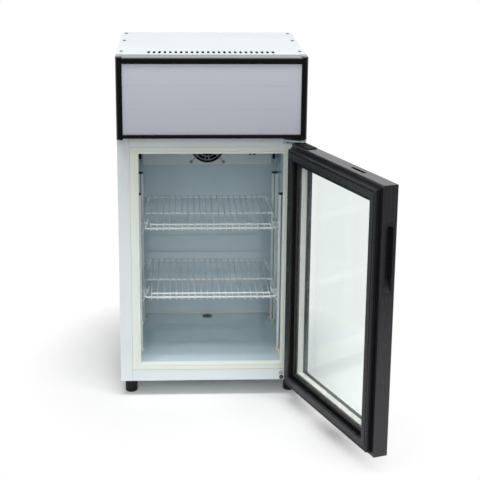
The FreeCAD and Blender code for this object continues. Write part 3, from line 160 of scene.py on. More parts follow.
def per_mm(size):
    """Texture scale whose features are about this many millimetres across."""
    return 1 / (size * MM)


print("middle grey in linear light", [round(value, 2) for value in linear("#808080")])

# %% [markdown]
# ## The studio
# The photograph shows the fridge on plain white under broad soft light. The world is a white sweep: for
# camera rays it is plain white, mirrors see it white behind the fridge and dim on the camera's side, and for
# diffuse light it is a level grey, so that the white never over-lights the fridge. Light Path tells these
# rays apart.

# %% The world
WORLD_LIGHT = 0.10
CAMERA_SIDE_GLOW = 0.16
GLOW_FROM, GLOW_TO = -0.7, 0.25

world = bpy.data.worlds.new("white_sweep")
scene.world = world
tree = empty_tree(world)
ray = add(tree, "ShaderNodeLightPath").outputs
direction = add(tree, "ShaderNodeTexCoord").outputs["Generated"]
toward_back = add(tree, "ShaderNodeSeparateXYZ", {0: direction}).outputs["Y"]
glow = add(tree, "ShaderNodeMapRange", {
    "Value": toward_back, "From Min": GLOW_FROM, "From Max": GLOW_TO,
    "To Min": CAMERA_SIDE_GLOW, "To Max": 1.0})
mirror = add(tree, "ShaderNodeMath", {
    0: ray["Is Glossy Ray"], 1: ray["Is Transmission Ray"]}, operation="MAXIMUM")
level = add(tree, "ShaderNodeMix", {SHARE: mirror, NUMBER_A: WORLD_LIGHT, NUMBER_B: glow})
strength = add(tree, "ShaderNodeMix", {SHARE: ray["Is Camera Ray"], NUMBER_A: level, NUMBER_B: 1.0})
sweep = add(tree, "ShaderNodeBackground", {"Color": (1, 1, 1, 1), "Strength": strength})
add(tree, "ShaderNodeOutputWorld", {"Surface": sweep})
print("world light", WORLD_LIGHT)

# %% [markdown]
# The lamps are four soft boxes. The largest hangs almost straight overhead, which makes the top sheet the
# brightest face, leaves the strip under the header in shade and draws an edge of light across the floor of
# the compartment. The next stands by the camera and reaches the back of the compartment. A third shines down
# from the front at about 50 degrees, and a weak fill on the right reaches the door. An area lamp's power
# divided by ten times its distance squared is about how bright it makes a white surface that faces it, which
# is how the powers were chosen.

# %% The lamps
FRIDGE_MIDDLE = (cad_box[0] + cad_box[1]) / 2
LAMPS = {
    "overhead_box": ((0.0, -1.45, 5.5), (4.0, 1.3), 225.0),
    "front_box": ((-0.3, -3.1, 3.85), (3.0, 1.6), 30.0),
    "camera_fill": ((-0.1, -3.6, 1.7), (2.2, 1.4), 34.0),
    "right_fill": ((1.9, -2.3, 1.5), (1.6, 1.6), 5.0),
}


def soft_box(name, place, size, watts):
    """A rectangular lamp, of a width and height, that faces the fridge."""
    data = bpy.data.lights.new(name, "AREA")
    data.shape = "RECTANGLE"
    data.size, data.size_y = size
    data.energy = watts
    lamp = bpy.data.objects.new(name, data)
    away = Vector(place) - FRIDGE_MIDDLE
    lamp.matrix_world = Matrix.Translation(place) @ away.to_track_quat("Z", "Y").to_matrix().to_4x4()
    scene.collection.objects.link(lamp)


for lamp_name, (place, size, watts) in LAMPS.items():
    soft_box(lamp_name, place, size, watts)
print("lamps", len(LAMPS))

# %% [markdown]
# The floor is a sheet of matt white board. It has to keep the fridge's shadow and still melt into the white
# sweep, so camera, mirror and glass rays see the lit board by the cabinet and the door and more and more of a
# plain white away from them. The shadow is wanted in front and behind more than at the sides, so distances to
# the side count for more. The door stands high and thin, so its shadow starts part way to white. All other
# rays only meet the board. The board ends in front of what the picture shows, so the header's black gloss
# mirrors the dim room there, while the lower door mirrors white board.

# %% The floor
FLOOR_HALF = 14.0
FLOOR_FRONT = -1.25
SHADOW_REACH = (0.26, 0.58)
SIDE_STRETCH = 1.25
DOOR_START = 0.35

floor_mesh = bpy.data.meshes.new("floor_board")
floor_mesh.from_pydata(
    [(-FLOOR_HALF, FLOOR_FRONT, 0), (FLOOR_HALF, FLOOR_FRONT, 0), (FLOOR_HALF, FLOOR_HALF, 0),
     (-FLOOR_HALF, FLOOR_HALF, 0)], [], [(0, 1, 2, 3)])
floor = bpy.data.objects.new("floor_board", floor_mesh)
scene.collection.objects.link(floor)
board, tree, place = blank_finish("matt_white_board")
ray = add(tree, "ShaderNodeLightPath").outputs
stretched = add(tree, "ShaderNodeVectorMath", {0: place, 1: (SIDE_STRETCH, 1, 1)}, operation="MULTIPLY")
from_cabinet = add(tree, "ShaderNodeVectorMath", {0: stretched}, operation="LENGTH")
door_foot = sum(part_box("door_rail_bottom"), Vector()) / 2
door_spot = (door_foot.x, door_foot.y, 0)
from_door = add(tree, "ShaderNodeVectorMath", {0: place, 1: door_spot}, operation="DISTANCE")
by_door = add(tree, "ShaderNodeMath", {0: from_door, 1: DOOR_START}, operation="ADD")
nearest = add(tree, "ShaderNodeMath", {0: from_cabinet, 1: by_door}, operation="MINIMUM")
far = add(tree, "ShaderNodeMapRange", {
    "Value": nearest, "From Min": SHADOW_REACH[0], "From Max": SHADOW_REACH[1]})
mirror = add(tree, "ShaderNodeMath", {
    0: ray["Is Glossy Ray"], 1: ray["Is Transmission Ray"]}, operation="MAXIMUM")
seen = add(tree, "ShaderNodeMath", {0: mirror, 1: ray["Is Camera Ray"]}, operation="MAXIMUM")
fade = add(tree, "ShaderNodeMath", {0: seen, 1: far}, operation="MULTIPLY")
white = add(tree, "ShaderNodeEmission", {"Color": (1, 1, 1, 1), "Strength": 1.0})
matt = add(tree, "ShaderNodeBsdfDiffuse", {"Color": linear("#f3f3f3")})
both = add(tree, "ShaderNodeMixShader", {0: fade, 1: matt, 2: white})
add(tree, "ShaderNodeOutputMaterial", {"Surface": both})
floor_mesh.materials.append(board)
print("floor", 2 * FLOOR_HALF, "m wide")

# %% [markdown]
# ## Finishes
# Most finishes here are one idea with different numbers: a colour that drifts a little over the surface, a
# grain of a real size that breaks up the gloss, and a relief of a real depth. One function makes that
# network. Drawn and extruded goods have a grain that runs along the piece, which is the same noise stretched
# by a mapping. A pixel of the picture is about 2 mm on the fridge, and much finer grain would vanish, so the
# finest are drawn coarser and say so.

# %% The grained finish
DRIFT_MM = 170.0
NOISE_RANGE = {"From Min": 0.3, "From Max": 0.7}
GLOSS_SPREAD = 0.15


def grained(name, tint, shade, roughness, grain, relief, stretch=(1, 1, 1), turn=0.0, **shader_values):
    """A principled material with drifting colour, and gloss and relief that follow a grain in millimetres."""
    made, tree, place = blank_finish(name)
    facing = add(tree, "ShaderNodeMapping", {"Vector": place, "Rotation": (0, 0, turn)})
    along = add(tree, "ShaderNodeMapping", {"Vector": facing, "Scale": stretch})
    fine = add(tree, "ShaderNodeTexNoise", {"Vector": along, "Scale": per_mm(grain), "Detail": 3.0})
    slow = add(tree, "ShaderNodeTexNoise", {"Vector": place, "Scale": per_mm(DRIFT_MM), "Detail": 2.0})
    drift = add(tree, "ShaderNodeMapRange", {"Value": slow, **NOISE_RANGE})
    colour = add(tree, "ShaderNodeMix", {
        SHARE: drift, COLOUR_A: linear(tint), COLOUR_B: linear(shade)}, data_type="RGBA")
    smooth, rough = roughness * (1 - GLOSS_SPREAD), min(1.0, roughness * (1 + GLOSS_SPREAD))
    gloss = add(tree, "ShaderNodeMapRange", {"Value": fine, **NOISE_RANGE, "To Min": smooth, "To Max": rough})
    dents = add(tree, "ShaderNodeBump", {"Height": fine, "Distance": relief * MM})
    values = {"Base Color": colour, "Roughness": gloss, "Normal": dents}
    values.update({key.replace("_", " "): value for key, value in shader_values.items()})
    shader = add(tree, "ShaderNodeBsdfPrincipled", values)
    add(tree, "ShaderNodeOutputMaterial", {"Surface": shader})
    return made


finish_of_slot = {}
print("colours drift over", DRIFT_MM, "mm")

# %% [markdown]
# ### Coil-coated steel
# The cabinet sheets are steel that was painted in a mill before it was folded. The paint flows almost flat,
# so the eye gets a cool white with a soft sheen and the faint orange peel of a rolled coat. The peel is
# about 1 mm on the real sheet and is drawn at 4 mm so that it shows.

# %% White sheets
finish_of_slot["white_sheet"] = grained(
    "coil_coated_white_steel", "#e3eaec", "#dce5e8", 0.36, 4.0, 0.03, IOR=1.5)
print(finish_of_slot["white_sheet"].name)

# %% [markdown]
# ### Extruded PVC
# The frame round the opening is a cream profile pulled through a die. The die leaves it smoother than the
# paint, and the cream reads warm beside the blue white sheets. Its bars run both ways, so its faint grain is
# left without a direction. The shelf channels are the same plastic in white. They all stand upright, so their
# grain is drawn out along them.

# %% Trim and channels
LENGTHWISE = (1, 1, 0.04)
finish_of_slot["cream_trim"] = grained(
    "extruded_cream_pvc", "#e8efe4", "#e1e9df", 0.33, 5.0, 0.03, IOR=1.53)
finish_of_slot["pilaster_white"] = grained(
    "extruded_white_pvc", "#f6f9f9", "#eef3f4", 0.30, 3.5, 0.03, LENGTHWISE, IOR=1.53)
print("trim and channel plastics made")

# %% [markdown]
# ### Vacuum-formed polystyrene
# The compartment is a sheet that was softened and sucked over a mould. It comes out glossy, but never quite
# flat: broad shallow waves bend what it mirrors. Two noises make them. The broad one also shifts the colour a
# little, and the finer one the gloss.

# %% Compartment lining
WAVE_MM, RIPPLE_MM = 90.0, 22.0
WAVE_DEPTH_MM, RIPPLE_DEPTH_MM = 0.7, 0.02

liner_finish, tree, place = blank_finish("vacuum_formed_polystyrene")
wave = add(tree, "ShaderNodeTexNoise", {"Vector": place, "Scale": per_mm(WAVE_MM), "Detail": 1.0})
ripple = add(tree, "ShaderNodeTexNoise", {"Vector": place, "Scale": per_mm(RIPPLE_MM), "Detail": 1.0})
broad = add(tree, "ShaderNodeBump", {"Height": wave, "Distance": WAVE_DEPTH_MM * MM})
dents = add(tree, "ShaderNodeBump", {"Height": ripple, "Distance": RIPPLE_DEPTH_MM * MM, "Normal": broad})
colour = add(tree, "ShaderNodeMix", {
    SHARE: wave, COLOUR_A: linear("#c6d8e0"), COLOUR_B: linear("#d1e2e9")}, data_type="RGBA")
gloss = add(tree, "ShaderNodeMapRange", {"Value": ripple, "To Min": 0.015, "To Max": 0.035})
shader = add(tree, "ShaderNodeBsdfPrincipled", {
    "Base Color": colour, "Roughness": gloss, "Normal": dents, "IOR": 1.59})
add(tree, "ShaderNodeOutputMaterial", {"Surface": shader})
finish_of_slot["liner_grey"] = liner_finish
print(liner_finish.name)

# %% [markdown]
# ### Black plastics and rubber
# The header rails are gloss ABS from a polished mould: nearly black, with sharp highlights. The door handle
# is ABS with a satin skin, and the gasket's rubber is satin too. The knob, feet and fans come from a
# spark-eroded mould, which leaves a fine matt grain (about 0.3 mm, drawn at 2.5 mm). The hinge blocks are
# nylon with glass fibres in it, which is duller, and the rubber mounts are the dullest. The mirror of all
# these blacks is set weaker than such materials have, because the floor and sweep here seem whiter than what
# the real ones mirrored, and would turn them grey. The drain is a grey plastic.

# %% Black plastics and rubber
finish_of_slot["black_gloss"] = grained(
    "polished_black_abs", "#08080a", "#0c0c0e", 0.09, 30.0, 0.06, IOR=1.53, Specular_IOR_Level=0.35)
finish_of_slot["black_plastic"] = grained(
    "spark_textured_black_plastic", "#101012", "#161618", 0.46, 2.5, 0.05, IOR=1.5, Specular_IOR_Level=0.25)
finish_of_slot["gasket_rubber"] = grained(
    "satin_epdm_rubber", "#232428", "#1e1f22", 0.44, 6.0, 0.04, IOR=1.52, Specular_IOR_Level=0.3)
finish_of_slot["mount_rubber"] = grained(
    "moulded_nitrile_rubber", "#0f0f10", "#141415", 0.70, 4.0, 0.08, IOR=1.52, Specular_IOR_Level=0.25)
handle_finish = grained(
    "satin_moulded_abs", "#27272b", "#212125", 0.32, 8.0, 0.03, IOR=1.53, Specular_IOR_Level=0.35)
nylon_finish = grained(
    "glass_filled_nylon", "#0b0b0c", "#101011", 0.60, 2.5, 0.06, IOR=1.53, Specular_IOR_Level=0.12)
drain_finish = grained(
    "moulded_grey_polypropylene", "#74746b", "#68685f", 0.45, 4.0, 0.05, IOR=1.49)
print("black finishes made")

# %% [markdown]
# ### Opal acrylic
# The header is taken to be a lamp box behind a sheet of grey opal acrylic. With the lamps off it is a cool
# lilac grey. A painted gradient of light makes it a little lighter towards the top, where the overhead light
# falls, and the shade of two lamp bars behind it is painted as faint darker bands. The bands are a function
# of height, which is first set to run from 0 to 1. The lamp bars have lenses of opal polycarbonate.

# %% Header diffuser
SHADE_BAND_HEIGHTS = (0.36, 0.66)
SHADE_BAND_HALF, SHADE_BAND_STRENGTH = 0.012, 0.12
MIST_MM = 9.0
SIDEWAYS = (0.03, 1, 1)

panel_low, panel_high = (corner.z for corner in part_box("header_diffuser"))
acrylic, tree, place = blank_finish("opal_grey_acrylic")
height = add(tree, "ShaderNodeSeparateXYZ", {0: place}).outputs["Z"]
rise = add(tree, "ShaderNodeMapRange", {"Value": height, "From Min": panel_low, "From Max": panel_high})
# painted light: the grey runs lighter towards the top of the panel, where the overhead light falls
shade = add(tree, "ShaderNodeMix", {
    SHARE: rise, COLOUR_A: linear("#b6b8c3"), COLOUR_B: linear("#cacdd7")}, data_type="RGBA")
# painted shade: a darker band at the height of each lamp bar behind the acrylic
for band in SHADE_BAND_HEIGHTS:
    near_shade_band = add(tree, "ShaderNodeMath", {0: rise, 1: band, 2: SHADE_BAND_HALF}, operation="COMPARE")
    soft = add(tree, "ShaderNodeMath", {0: near_shade_band, 1: SHADE_BAND_STRENGTH}, operation="MULTIPLY")
    shade = add(tree, "ShaderNodeMix", {
        SHARE: soft, COLOUR_A: shade, COLOUR_B: linear("#a6a8b4")}, data_type="RGBA")
streaks = add(tree, "ShaderNodeMapping", {"Vector": place, "Scale": SIDEWAYS})
mist = add(tree, "ShaderNodeTexNoise", {"Vector": streaks, "Scale": per_mm(MIST_MM)})
gloss = add(tree, "ShaderNodeMapRange", {"Value": mist, "To Min": 0.26, "To Max": 0.34})
shader = add(tree, "ShaderNodeBsdfPrincipled", {"Base Color": shade, "Roughness": gloss, "IOR": 1.49})
add(tree, "ShaderNodeOutputMaterial", {"Surface": shader})
finish_of_slot["diffuser"] = acrylic
finish_of_slot["lamp_lens"] = grained(
    "opal_polycarbonate_lens", "#f0efe8", "#e8e7df", 0.25, 8.0, 0.02, IOR=1.58)
print("diffuser from", round(panel_low, 3), "to", round(panel_high, 3))

# %% [markdown]
# ### Anodised door profile
# The door frame is extruded aluminium, etched and dyed anthracite. Die lines run along each bar and catch
# the light as fine streaks. The stiles stand upright and the rails lie along the open door, so the same
# finish is made twice, with its mapping stretched along Z or turned with the door. The lines are finer than
# a millimetre and are drawn at 1.2 mm, so that they only just show.

# %% Door profiles
PROFILE = ("#2d2d31", "#28282c", 0.28, 1.2, 0.005)
DIE_STRETCH = 0.02

door_joint = next(joint for joint in frame["joints"] if joint["name"] == "door_hinge")
DOOR_TURN = -math.radians(door_joint["range_deg"][0])
finish_of_slot["door_profile"] = grained("anodised_stile", *PROFILE, (1, 1, DIE_STRETCH), IOR=1.5)
rail_finish = grained("anodised_rail", *PROFILE, (DIE_STRETCH, 1, 1), -DOOR_TURN, IOR=1.5)
print("door rests open by", round(math.degrees(DOOR_TURN)), "degrees")

# %% [markdown]
# ### Float glass
# Glass is nearly colourless face on and green at its edge. The panes are thin and flat, so the slight shift
# of what lies behind them is left out: the body of the glass bends nothing, and a coat with the index of
# glass makes the mirror. Lamp rays would still be stopped by it, so they take a plain transparent shader. The
# photograph shows a weaker mirror than four bare surfaces of glass give, so a fixed share of that plain
# shader is mixed in for the eye as well. A trace of wiped-off haze varies the roughness.

# %% Glass
CLEAR_SHARE = 0.55
HAZE_MM = 130.0

glass_finish, tree, place = blank_finish("clear_float_glass")
haze = add(tree, "ShaderNodeTexNoise", {"Vector": place, "Scale": per_mm(HAZE_MM), "Detail": 2.0})
wiped = add(tree, "ShaderNodeMapRange", {"Value": haze, "From Min": 0.45, "From Max": 0.8, "To Max": 0.004})
pane = add(tree, "ShaderNodeBsdfPrincipled", {
    "Base Color": linear("#fbfefd"), "Roughness": wiped, "IOR": 1.0, "Transmission Weight": 1.0,
    "Coat Weight": 1.0, "Coat IOR": 1.52, "Coat Roughness": 0.0})
clear = add(tree, "ShaderNodeBsdfTransparent", {"Color": linear("#fdfffe")})
shadow = add(tree, "ShaderNodeLightPath").outputs["Is Shadow Ray"]
see_through = add(tree, "ShaderNodeMapRange", {"Value": shadow, "To Min": CLEAR_SHARE})
mixed = add(tree, "ShaderNodeMixShader", {0: see_through, 1: pane, 2: clear})
add(tree, "ShaderNodeOutputMaterial", {"Surface": mixed})
finish_of_slot["glass"] = glass_finish
print(glass_finish.name)

# %% [markdown]
# ### Perforated aluminium
# The bar between the panes is rolled aluminium with a row of pinholes for the drying beads inside. The holes
# are darker grey dots with a shallow bump, which is painted shade in them. Repeating cells come from the
# remainder of a length divided by the pitch. The real pitch is about 2 mm, and it is drawn at 7 mm so that
# the dots show.

# %% Spacer bar
HOLE_PITCH_MM, HOLE_DEPTH_MM = 7.0, 0.4
HOLE_SHARE = 0.22

spacer_finish, tree, place = blank_finish("perforated_rolled_aluminium")
flat = add(tree, "ShaderNodeMapping", {"Vector": place, "Rotation": (0, 0, -DOOR_TURN)})
pitches = add(tree, "ShaderNodeMapping", {"Vector": flat, "Scale": [per_mm(HOLE_PITCH_MM)] * 3})
cell = add(tree, "ShaderNodeVectorMath", {0: pitches}, operation="FRACTION")
middle = add(tree, "ShaderNodeVectorMath", {0: cell, 1: (0.5, 0.5, 0.5)}, operation="SUBTRACT")
level_middle = add(tree, "ShaderNodeVectorMath", {0: middle, 1: (1, 0, 1)}, operation="MULTIPLY")
reach = add(tree, "ShaderNodeVectorMath", {0: level_middle}, operation="LENGTH")
metal = add(tree, "ShaderNodeMath", {0: reach, 1: HOLE_SHARE}, operation="GREATER_THAN")
# painted shade: the pinholes are a darker grey than the metal round them
colour = add(tree, "ShaderNodeMix", {
    SHARE: metal, COLOUR_A: linear("#6a6b69"), COLOUR_B: linear("#d9d9d3")}, data_type="RGBA")
pits = add(tree, "ShaderNodeBump", {"Height": metal, "Distance": HOLE_DEPTH_MM * MM})
shader = add(tree, "ShaderNodeBsdfPrincipled", {
    "Base Color": colour, "Metallic": 0.3, "Roughness": 0.45, "Normal": pits})
add(tree, "ShaderNodeOutputMaterial", {"Surface": shader})
finish_of_slot["spacer_metal"] = spacer_finish
print(spacer_finish.name)

# %% [markdown]
# ### Metals of the cooling unit and the hinges
# Zinc plate is a bright blue grey with a soft mirror. On the cover's screws it is darkened to a dull grey,
# which is painted shade, and on the top bracket a passivating bath gives it a pale blue tinge. Copper tube is
# drawn, so it is smooth and warm and dulls unevenly as it ages. Aluminium fins are left as they leave the
# mill. Turned brass has gone a dull yellow. The compressor shell is steel under a thick black enamel that
# hides the metal. The wire shelves are dipped in polyethylene, which rounds every edge and gives a waxy white.
# Cured silicone is a cream with a soft gloss, and cut foam is matt and yellow.

# %% Metals, enamel and coated wire
finish_of_slot["zinc_steel"] = grained(
    "zinc_plated_steel", "#b4b8bd", "#a2a8b0", 0.34, 6.0, 0.02, Metallic=1.0)
finish_of_slot["copper"] = grained("drawn_copper", "#c98a68", "#a86a4c", 0.30, 9.0, 0.02, Metallic=1.0)
finish_of_slot["bare_aluminium"] = grained(
    "mill_aluminium", "#c6c9cc", "#b9bcc0", 0.38, 5.0, 0.03, (1, 1, 0.1), Metallic=1.0)
finish_of_slot["compressor_black"] = grained(
    "black_stove_enamel", "#17171a", "#1e1e21", 0.32, 7.0, 0.06, IOR=1.5)
finish_of_slot["white_wire"] = grained(
    "polyethylene_dipped_wire", "#e9eeee", "#dfe6e7", 0.30, 6.0, 0.05, IOR=1.51)
finish_of_slot["foam"] = grained("cut_polyurethane_foam", "#dccfa0", "#c9b985", 0.85, 3.0, 0.5, IOR=1.4)
# painted shade: a darker, duller zinc for the cover's screw heads
shade_darkened_zinc_finish = grained("shade_darkened_zinc_plate", "#7e8080", "#6e7070", 0.50, 3.0, 0.03, Metallic=1.0)
passivated_finish = grained("blue_passivated_zinc", "#c3d3d8", "#b4c6cc", 0.42, 6.0, 0.02, Metallic=0.7)
brass_finish = grained("turned_brass", "#a59c80", "#8d856b", 0.32, 3.0, 0.02, Metallic=1.0)
sealant_finish = grained("cured_silicone", "#f2eed6", "#e9e3c4", 0.34, 5.0, 0.15, IOR=1.41)
print("metals and coated wire made")

# %% [markdown]
# ### Galvanised sheet
# Steel dipped in molten zinc freezes into crystals about 7 mm across, and each crystal mirrors the light a
# little differently. A Voronoi texture gives each cell one random value, which sets its brightness and gloss.

# %% Galvanised sheets
SPANGLE_MM, SPANGLE_DEPTH_MM = 7.0, 0.03

galvanised, tree, place = blank_finish("hot_dip_galvanised_steel")
crystal = add(tree, "ShaderNodeTexVoronoi", {"Vector": place, "Scale": per_mm(SPANGLE_MM)}).outputs
facet = add(tree, "ShaderNodeSeparateColor", {0: crystal["Color"]})
colour = add(tree, "ShaderNodeMix", {
    SHARE: facet, COLOUR_A: linear("#a5aaae"), COLOUR_B: linear("#b3b8bc")}, data_type="RGBA")
gloss = add(tree, "ShaderNodeMapRange", {"Value": facet, "To Min": 0.38, "To Max": 0.48})
edge = add(tree, "ShaderNodeBump", {"Height": crystal["Distance"], "Distance": SPANGLE_DEPTH_MM * MM})
shader = add(tree, "ShaderNodeBsdfPrincipled", {
    "Base Color": colour, "Metallic": 1.0, "Roughness": gloss, "Normal": edge})
add(tree, "ShaderNodeOutputMaterial", {"Surface": shader})
finish_of_slot["galvanised"] = galvanised
print(galvanised.name)

# %% [markdown]
# ## Dressing the CAD pieces
# Every node names its material slot in the record, so a loop can hand out the finishes. The two rails take
# their own turned version, the handle and the hinge blocks are other blacks than the rest of their slot, the
# top bracket's zinc is passivated blue, and the drain is a darker plastic than the lining round it.

# %% Hand out the finishes
slot_of_node = {part["node"]: part["material_slot"] for part in frame["record"]["subparts"]}
own_finishes = {
    "door_rail_top": rail_finish, "door_rail_bottom": rail_finish, "door_handle": handle_finish,
    "hinge_blocks": nylon_finish, "hinge_bracket_top": passivated_finish, "drain_spout": drain_finish}
for name, piece in frame["nodes"].items():
    piece.data.materials.clear()
    piece.data.materials.append(own_finishes.get(name, finish_of_slot[slot_of_node[name]]))
finishes_used = {piece.data.materials[0].name for piece in frame["nodes"].values()}
print("dressed", len(frame["nodes"]), "nodes with", len(finishes_used), "finishes")

# %% [markdown]
# ## Tools for new pieces
# Three kinds of form come back again and again in sheet-metal goods: bent wire, turned parts and frames of
# one section mitred at four corners. Wire is a curve with a round bevel, whose points carry the radius.
# Turned parts and frames are swept by hand in bmesh, so that each has one clean skin.

# %% Piece helpers
BEND_STEPS = 7
CORNERS = 4


def settle(piece, body, slot, *replaced, finish=None):
    """Dress a finished piece and let it ride on its body, in place of the nodes that it replaces."""
    scene.collection.objects.link(piece)
    piece.data.materials.append(finish or finish_of_slot[slot])
    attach(piece, body)
    if replaced:
        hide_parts(*replaced)
    print("made", piece.name)


def mesh_piece(name, shape, crease=35.0):
    """An object from a bmesh, smooth but for edges sharper than the crease angle."""
    bmesh.ops.recalc_face_normals(shape, faces=shape.faces)
    mesh = bpy.data.meshes.new(name)
    shape.to_mesh(mesh)
    shape.free()
    mesh.shade_smooth()
    mesh.set_sharp_from_angle(angle=math.radians(crease))
    return bpy.data.objects.new(name, mesh)


def bent(points, radius, closed=False):
    """The points of a line that turns each corner on an arc."""
    count = len(points)
    route = []
    for i, here in enumerate(points):
        if not closed and i in (0, count - 1):
            route.append(here)
            continue
        before = (here - points[i - 1]).normalized()
        after = (points[(i + 1) % count] - here).normalized()
        turn = before.angle(after)
        start = here - before * (radius * math.tan(turn / 2))
        inward = (after - before * math.cos(turn)).normalized()
        for step in range(BEND_STEPS + 1):
            angle = turn * step / BEND_STEPS
            ahead, aside = radius * math.sin(angle), radius * (1 - math.cos(angle))
            route.append(start + before * ahead + inward * aside)
    return route


def add_line(curve, points, closed):
    """Add one straight-edged line to a curve."""
    line = curve.splines.new("POLY")
    line.points.add(len(points) - 1)
    line.use_cyclic_u = closed
    for knot, point in zip(line.points, points):
        knot.co = (*point, 1)
    return line


def wire_piece(name, runs):
    """A curve of round wires. A run is its points, its radius (one, or one a point) and whether it closes."""
    curve = bpy.data.curves.new(name, "CURVE")
    curve.dimensions = "3D"
    curve.bevel_depth = MM
    curve.bevel_resolution = 3
    curve.use_fill_caps = True
    for points, radius, closed in runs:
        radii = radius if isinstance(radius, list) else [radius] * len(points)
        for knot, thick in zip(add_line(curve, points, closed).points, radii):
            knot.radius = thick / MM
    return bpy.data.objects.new(name, curve)


def turned(shape, profile, place, sides=32, flutes=0):
    """Sweep radius and height pairs round the Z axis, then move the skin to its place.

    A third number in a pair is how deep the flutes cut there.
    """
    rings = []
    for radius, height, *cut in profile:
        depth = cut[0] if cut else 0
        ring = []
        for i in range(sides if radius else 1):
            angle = 2 * math.pi * i / sides
            reach = radius - depth * (0.5 - 0.5 * math.cos(flutes * angle))
            ring.append(shape.verts.new((reach * math.cos(angle), reach * math.sin(angle), height)))
        rings.append(ring)
    for low, high in zip(rings, rings[1:]):
        for i in range(sides):
            j = (i + 1) % sides
            if len(low) == 1:
                shape.faces.new((low[0], high[j], high[i]))
            elif len(high) == 1:
                shape.faces.new((low[i], low[j], high[0]))
            else:
                shape.faces.new((low[i], low[j], high[j], high[i]))
    bmesh.ops.transform(shape, matrix=place, verts=[vert for ring in rings for vert in ring])


def corner_rings(low, high, section, widths=(1, 1)):
    """Four mitred corners, round the XZ rectangle of a box, for every (inset, y) point of a section."""
    wide, tall = widths
    rings = []
    for inset, y in section:
        left, right = low.x + wide * inset, high.x - wide * inset
        foot, head = low.z + tall * inset, high.z - tall * inset
        corners = ((left, foot), (right, foot), (right, head), (left, head))
        rings.append([Vector((x, y, z)) for x, z in corners])
    return rings


def mitred_ring(shape, rings):
    """Skin of a closed section that runs round all four corners."""
    rows = [[shape.verts.new(spot) for spot in ring] for ring in rings]
    for near, far in zip(rows, rows[1:] + rows[:1]):
        for i in range(CORNERS):
            j = (i + 1) % CORNERS
            shape.faces.new((near[i], near[j], far[j], far[i]))


def prism(shape, near, far):
    """Solid between two outlines with the same number of points."""
    ends = [[shape.verts.new(spot) for spot in outline] for outline in (near, far)]
    count = len(near)
    for i in range(count):
        j = (i + 1) % count
        shape.faces.new((ends[0][i], ends[0][j], ends[1][j], ends[1][i]))
    shape.faces.new(ends[0])
    shape.faces.new(ends[1])


def box_of(spots):
    """The lowest and highest corner of the box round some points."""
    return Vector(map(min, zip(*spots))), Vector(map(max, zip(*spots)))


def block(shape, corner, opposite):
    """Plain box between two opposite corners, given back as its vertices."""
    low, high = box_of((corner, opposite))
    made = bmesh.ops.create_cube(shape, size=1.0)["verts"]
    bmesh.ops.scale(shape, vec=high - low, verts=made)
    bmesh.ops.translate(shape, vec=(low + high) / 2, verts=made)
    return made


def slab(shape, corner, opposite, edge):
    """Box between two opposite corners with rounded edges."""
    made = block(shape, corner, opposite)
    sides = list(dict.fromkeys(line for vert in made for line in vert.link_edges))
    bmesh.ops.bevel(shape, geom=sides, offset=edge, segments=2, profile=0.5, affect="EDGES")


def baked(piece):
    """The evaluated shape of a curve or modified object, as a bmesh."""
    scene.collection.objects.link(piece)
    bpy.context.view_layer.update()
    mesh = bpy.data.meshes.new_from_object(piece.evaluated_get(bpy.context.evaluated_depsgraph_get()))
    bpy.data.objects.remove(piece)
    shape = bmesh.new()
    shape.from_mesh(mesh)
    bpy.data.meshes.remove(mesh)
    return shape


def carved(shape, cutter_shape):
    """A shape with another one taken out of it."""
    blank = mesh_piece("blank", shape)
    cutter = mesh_piece("cutter", cutter_shape)
    scene.collection.objects.link(cutter)
    cut = blank.modifiers.new("cut", "BOOLEAN")
    cut.object = cutter
    cut.use_self = True
    result = baked(blank)
    bpy.data.objects.remove(cutter)
    return result


SKY = Matrix.Identity(4)
GROUND = Matrix.Rotation(math.pi, 4, "X")
FRONTWARD = Matrix.Rotation(math.pi / 2, 4, "X")
BACKWARD = Matrix.Rotation(-math.pi / 2, 4, "X")
print("helpers ready")

# %% [markdown]
# ## Wire shelves
# A shelf is a frame of thick wire with rounded corners, a cross bar, thin wires welded on top and a front
# lip. Each thin wire ends at a short upright, which carries the lip and runs down over the front of the
# frame. CAD has the wires with six flat sides. Curves make them round, and the radius stored on each point
# lets one curve hold three wire sizes.

# %% Shelves
FRAME_WIRE, BAR_WIRE, LIP_WIRE = 2.5 * MM, 1.25 * MM, 2.0 * MM
BAR_COUNT = 20
BAR_EDGE = 17.0 * MM
OVERHANG = 4.0 * MM
CORNER = 12.0 * MM
CROSS_BAR = 138.0 * MM
UPRIGHT_DROP = 4.7 * MM
HEX = math.cos(math.pi / 6)


def shelf_runs(node):
    """All wires of one shelf, from the box of its node."""
    low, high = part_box(node)
    half = high.x - FRAME_WIRE / HEX
    level = low.z + FRAME_WIRE
    tips = low.y + BAR_WIRE
    near, far = tips + OVERHANG, high.y - OVERHANG
    corners = [Vector((x, y, level)) for x, y in ((-half, near), (half, near), (half, far), (-half, far))]
    cross = [Vector((x, near + CROSS_BAR, level)) for x in (-half, half)]
    runs = [(bent(corners, CORNER, True), FRAME_WIRE, True), (cross, FRAME_WIRE, False)]
    bar_level = level + FRAME_WIRE + BAR_WIRE
    lip_level = high.z - LIP_WIRE
    reach = half - BAR_EDGE
    for i in range(BAR_COUNT):
        x = reach * (2 * i / (BAR_COUNT - 1) - 1)
        bar = [Vector((x, far + OVERHANG, bar_level)), Vector((x, tips, bar_level))]
        upright = [Vector((x, tips, lip_level)), Vector((x, tips, level - UPRIGHT_DROP))]
        runs += [(bar, BAR_WIRE, False), (upright, BAR_WIRE, False)]
    behind = tips + BAR_WIRE + LIP_WIRE
    lip = [Vector((x, behind, lip_level)) for x in (-reach - BAR_WIRE, reach + BAR_WIRE)]
    return runs + [(lip, LIP_WIRE, False)]


SHELVES = ("shelf_upper", "shelf_lower")
for node in SHELVES:
    settle(wire_piece(node + "_wires", shelf_runs(node)), node, "white_wire", node)
